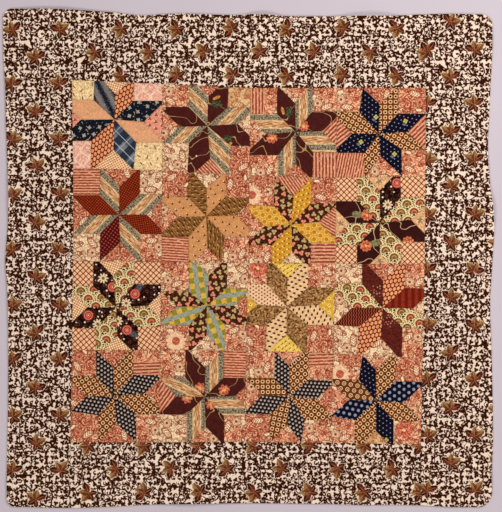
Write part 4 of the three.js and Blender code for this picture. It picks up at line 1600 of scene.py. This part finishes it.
def sideStrip(side):
    onLeft = side == "left"
    column = 0 if onLeft else 4
    upperName, lowerName = ("topLeft", "bottomLeft") if onLeft else ("topRight", "bottomRight")
    upper, lower = corners[upperName], corners[lowerName]
    topX, bottomX = stripEnds[upperName] / 1000, stripEnds[lowerName] / 1000
    turn = 1 - math.sqrt(0.5)
    seamPoints = [seamCrossing(row, column) for row in range(4, -1, -1)]
    seam = brokenLine([endPoint("bottom", bottomX), *seamPoints, endPoint("top", topX)])
    lowY, highY = lower["y"] + turn * lower["radius"], upper["y"] - turn * upper["radius"]
    ys = [lowY, *(y for x, y in seamPoints), highY]
    edge = edgeLine(lambda y: sidePoint(side, y), ys)
    sign = 1 if onLeft else -1
    lowX, highX = lower["x"] + sign * turn * lower["radius"], upper["x"] + sign * turn * upper["radius"]
    bottomEnds, topEnds = ([lowX, bottomX], [highX, topX]) if onLeft else ([bottomX, lowX], [topX, highX])
    bottom = edgeLine(lambda x: endPoint("bottom", x), bottomEnds)
    top = edgeLine(lambda x: endPoint("top", x), topEnds)
    shares = edgeShares(border["width"])
    middle = [stretch + np.linspace(0, 1, border["blockSteps"])[1:] for stretch in range(1, 5)]
    along = np.concatenate([shares, *middle, 6 - shares[::-1][1:]]) / 6
    across = shares if onLeft else 1 - shares[::-1]
    left, right = (edge, seam) if onLeft else (seam, edge)
    return left, right, bottom, top, across, along


def endStrip(end):
    onTop = end == "top"
    leftX, rightX = stripEnds[f"{end}Left"] / 1000, stripEnds[f"{end}Right"] / 1000
    seamPoints = [seamCrossing(0 if onTop else 4, column) for column in range(5)]
    seam = brokenLine(seamPoints)
    edge = edgeLine(lambda x: endPoint(end, x), [leftX, *(x for x, y in seamPoints[1:-1]), rightX])
    outer = [endPoint(end, x) for x in (leftX, rightX)]
    inner = [seamPoints[0], seamPoints[-1]]
    left, right = (brokenLine([first, second] if onTop else [second, first])
                   for first, second in zip(inner, outer))
    bottom, top = (seam, edge) if onTop else (edge, seam)
    shares = edgeShares(border["width"])
    along = 1 - shares[::-1] if onTop else shares
    return left, right, bottom, top, np.linspace(0, 1, 4 * border["blockSteps"] + 1), along


def edgeShares(width):
    fine = np.array(border["edgeSteps"]) / 1000 / width
    count = round(width * (1 - fine[-1]) / border["cell"])
    return np.concatenate([fine, np.linspace(fine[-1], 1, count + 1)[1:]])


def makeBorder(name):
    lengthwise = name in ("left", "right")
    left, right, bottom, top, across, along = (sideStrip if lengthwise else endStrip)(name)
    u, v = (grid.ravel() for grid in np.meshgrid(across, along))
    x, y = between(left, right, bottom, top, u, v)
    columns, rows = len(across), len(along)
    points = [(float(px), float(py), 0.0) for px, py in zip(x, y)]
    faces = [(j * columns + i, j * columns + i + 1, (j + 1) * columns + i + 1, (j + 1) * columns + i)
             for j in range(rows - 1) for i in range(columns - 1)]
    piece = newPiece(f"leaf_border_{name}", points, faces)
    mesh = piece.data
    for material in ("leafVine", "backing"):
        mesh.materials.append(materials[material])
    layer = mesh.uv_layers.new(name="cloth")
    originX, originY = fromPixel(border["printOrigins"][name])
    corner = np.zeros(len(mesh.loops), int)
    mesh.loops.foreach_get("vertex_index", corner)
    fromX, fromY = x[corner] - originX, y[corner] - originY
    cloth = np.stack([fromX, fromY] if lengthwise else [fromY, -fromX], 1)
    layer.data.foreach_set("uv", cloth.ravel())
    topFaces = len(mesh.polygons)
    giveThickness(piece, coverSeams)
    cells = []
    longWays = y if lengthwise else x
    first, last = longWays.min(), longWays.max()
    cuts = [first + (last - first) * share for share in (0, 1 / 3, 2 / 3, 1)]
    middles = [longWays[list(face)].mean() for face in faces]
    part = [min(2, sum(middle >= cut for cut in cuts[1:3])) for middle in middles]
    for third in range(3):
        members = [corner for face, where in zip(faces, part) if where == third for corner in face]
        low, high = (x[members].min(), y[members].min()), (x[members].max(), y[members].max())
        gap, foot = bakeMap["gap"], bakeMap["upperFoot"]
        step, size = bakeMap["sideThird" if lengthwise else "endThird"]
        if lengthwise:
            spot = (gap + step * third, foot, gap + step * third + size, 1 - gap)
        else:
            spot = (gap, foot + step * third, 1 - gap, foot + step * third + size)
        cells.append((*low, *high, *spot))
    makeBakeMap(piece, topFaces, lambda face: part[face], cells, (x.min(), y.min(), x.max(), y.max()))
    print(piece.name, "faces", len(piece.data.polygons))
    return piece


coverSeams = []
for block in starPoints:
    coverSeams += starFaces(*block)[1]
for line in range(5):
    for step in range(4):
        coverSeams.append((seamCrossing(line, step), seamCrossing(line, step + 1)))
        coverSeams.append((seamCrossing(step, line), seamCrossing(step + 1, line)))
for name in ("topLeft", "topRight", "bottomLeft", "bottomRight"):
    end = "top" if name.startswith("top") else "bottom"
    inner = seamCrossing(0 if end == "top" else 4, 0 if name.endswith("Left") else 4)
    coverSeams.append((inner, tuple(float(value) for value in endPoint(end, stripEnds[name] / 1000))))

blockNames = {row: [f"block_{row}_{column}" for column in range(1, 5)] for row in range(1, 5)}
for row in range(1, 5):
    piece = makeStarRow(row)
    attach(piece, "root")
    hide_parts(*blockNames[row])
print("star rows sewn")

borderSizes = {"left": (0.122, 0.91), "right": (0.124, 0.91), "top": (0.65, 0.131), "bottom": (0.65, 0.114)}
for name, size in borderSizes.items():
    piece = makeBorder(name)
    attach(piece, "root")
    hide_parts(f"border_{name}")
print("leaf borders sewn")

studio = {
    "keyPower": 222.0,
    "keyPlace": (-3.0, -4.4, 4.8),
    "keySize": 1.6,
    "sidePower": 44.0,
    "sidePlace": (1.5, 1.1, 1.7),
    "sideSize": 1.2,
    "fill": 0.36,
    "cameraPlace": (0.0048, 0.0042, 2.606),
    "cameraLens": 100.0,
}

bpy.ops.mesh.primitive_plane_add(size=6, location=(0, 0, -0.0004))
floor = bpy.context.object
floor.name = "floor"
floorPaint = bpy.data.materials.new("floor_paper")
floorPaint.use_nodes = True
floorDrawing = Drawing(floorPaint.node_tree)
floorShader = floorPaint.node_tree.nodes["Principled BSDF"]
grain = floorDrawing.node("ShaderNodeTexCoord").outputs["Object"]
floorDrawing.feed(floorShader.inputs["Base Color"], floorDrawing.mix(
    floorDrawing.noise(grain, 0.4), dye(206, 194, 203), dye(212, 200, 208)))
floorShader.inputs["Roughness"].default_value = 0.9
floorShader.inputs["Specular IOR Level"].default_value = 0.1
floor.data.materials.append(floorPaint)


def aimAt(thing, target):
    away = [target[axis] - thing.location[axis] for axis in range(3)]
    flat = math.hypot(away[0], away[1])
    spin = math.atan2(-away[0], away[1]) if flat > 1e-6 else 0
    thing.rotation_euler = (math.atan2(flat, -away[2]), 0, spin)


def addLamp(name, place, power, size, colour):
    bpy.ops.object.light_add(type="AREA", location=place)
    lamp = bpy.context.object
    lamp.name = name
    lamp.data.energy = power
    lamp.data.size = size
    lamp.data.color = colour
    aimAt(lamp, (0, 0, 0))


addLamp("key_light", studio["keyPlace"], studio["keyPower"], studio["keySize"], (1.0, 0.97, 0.93))
addLamp("side_light", studio["sidePlace"], studio["sidePower"], studio["sideSize"], (1.0, 0.99, 0.97))

world = bpy.data.worlds.new("studio")
bpy.context.scene.world = world
world.use_nodes = True
world.node_tree.nodes["Background"].inputs["Color"].default_value = (1.0, 0.99, 0.98, 1.0)
world.node_tree.nodes["Background"].inputs["Strength"].default_value = studio["fill"]

bpy.ops.object.camera_add(location=studio["cameraPlace"], rotation=(0, 0, 0))
camera = bpy.context.object
camera.name = "camera"
camera.data.lens = studio["cameraLens"]
camera.data.sensor_width = 36
bpy.context.scene.camera = camera
bpy.context.scene.view_settings.view_transform = "Standard"
print("studio ready")
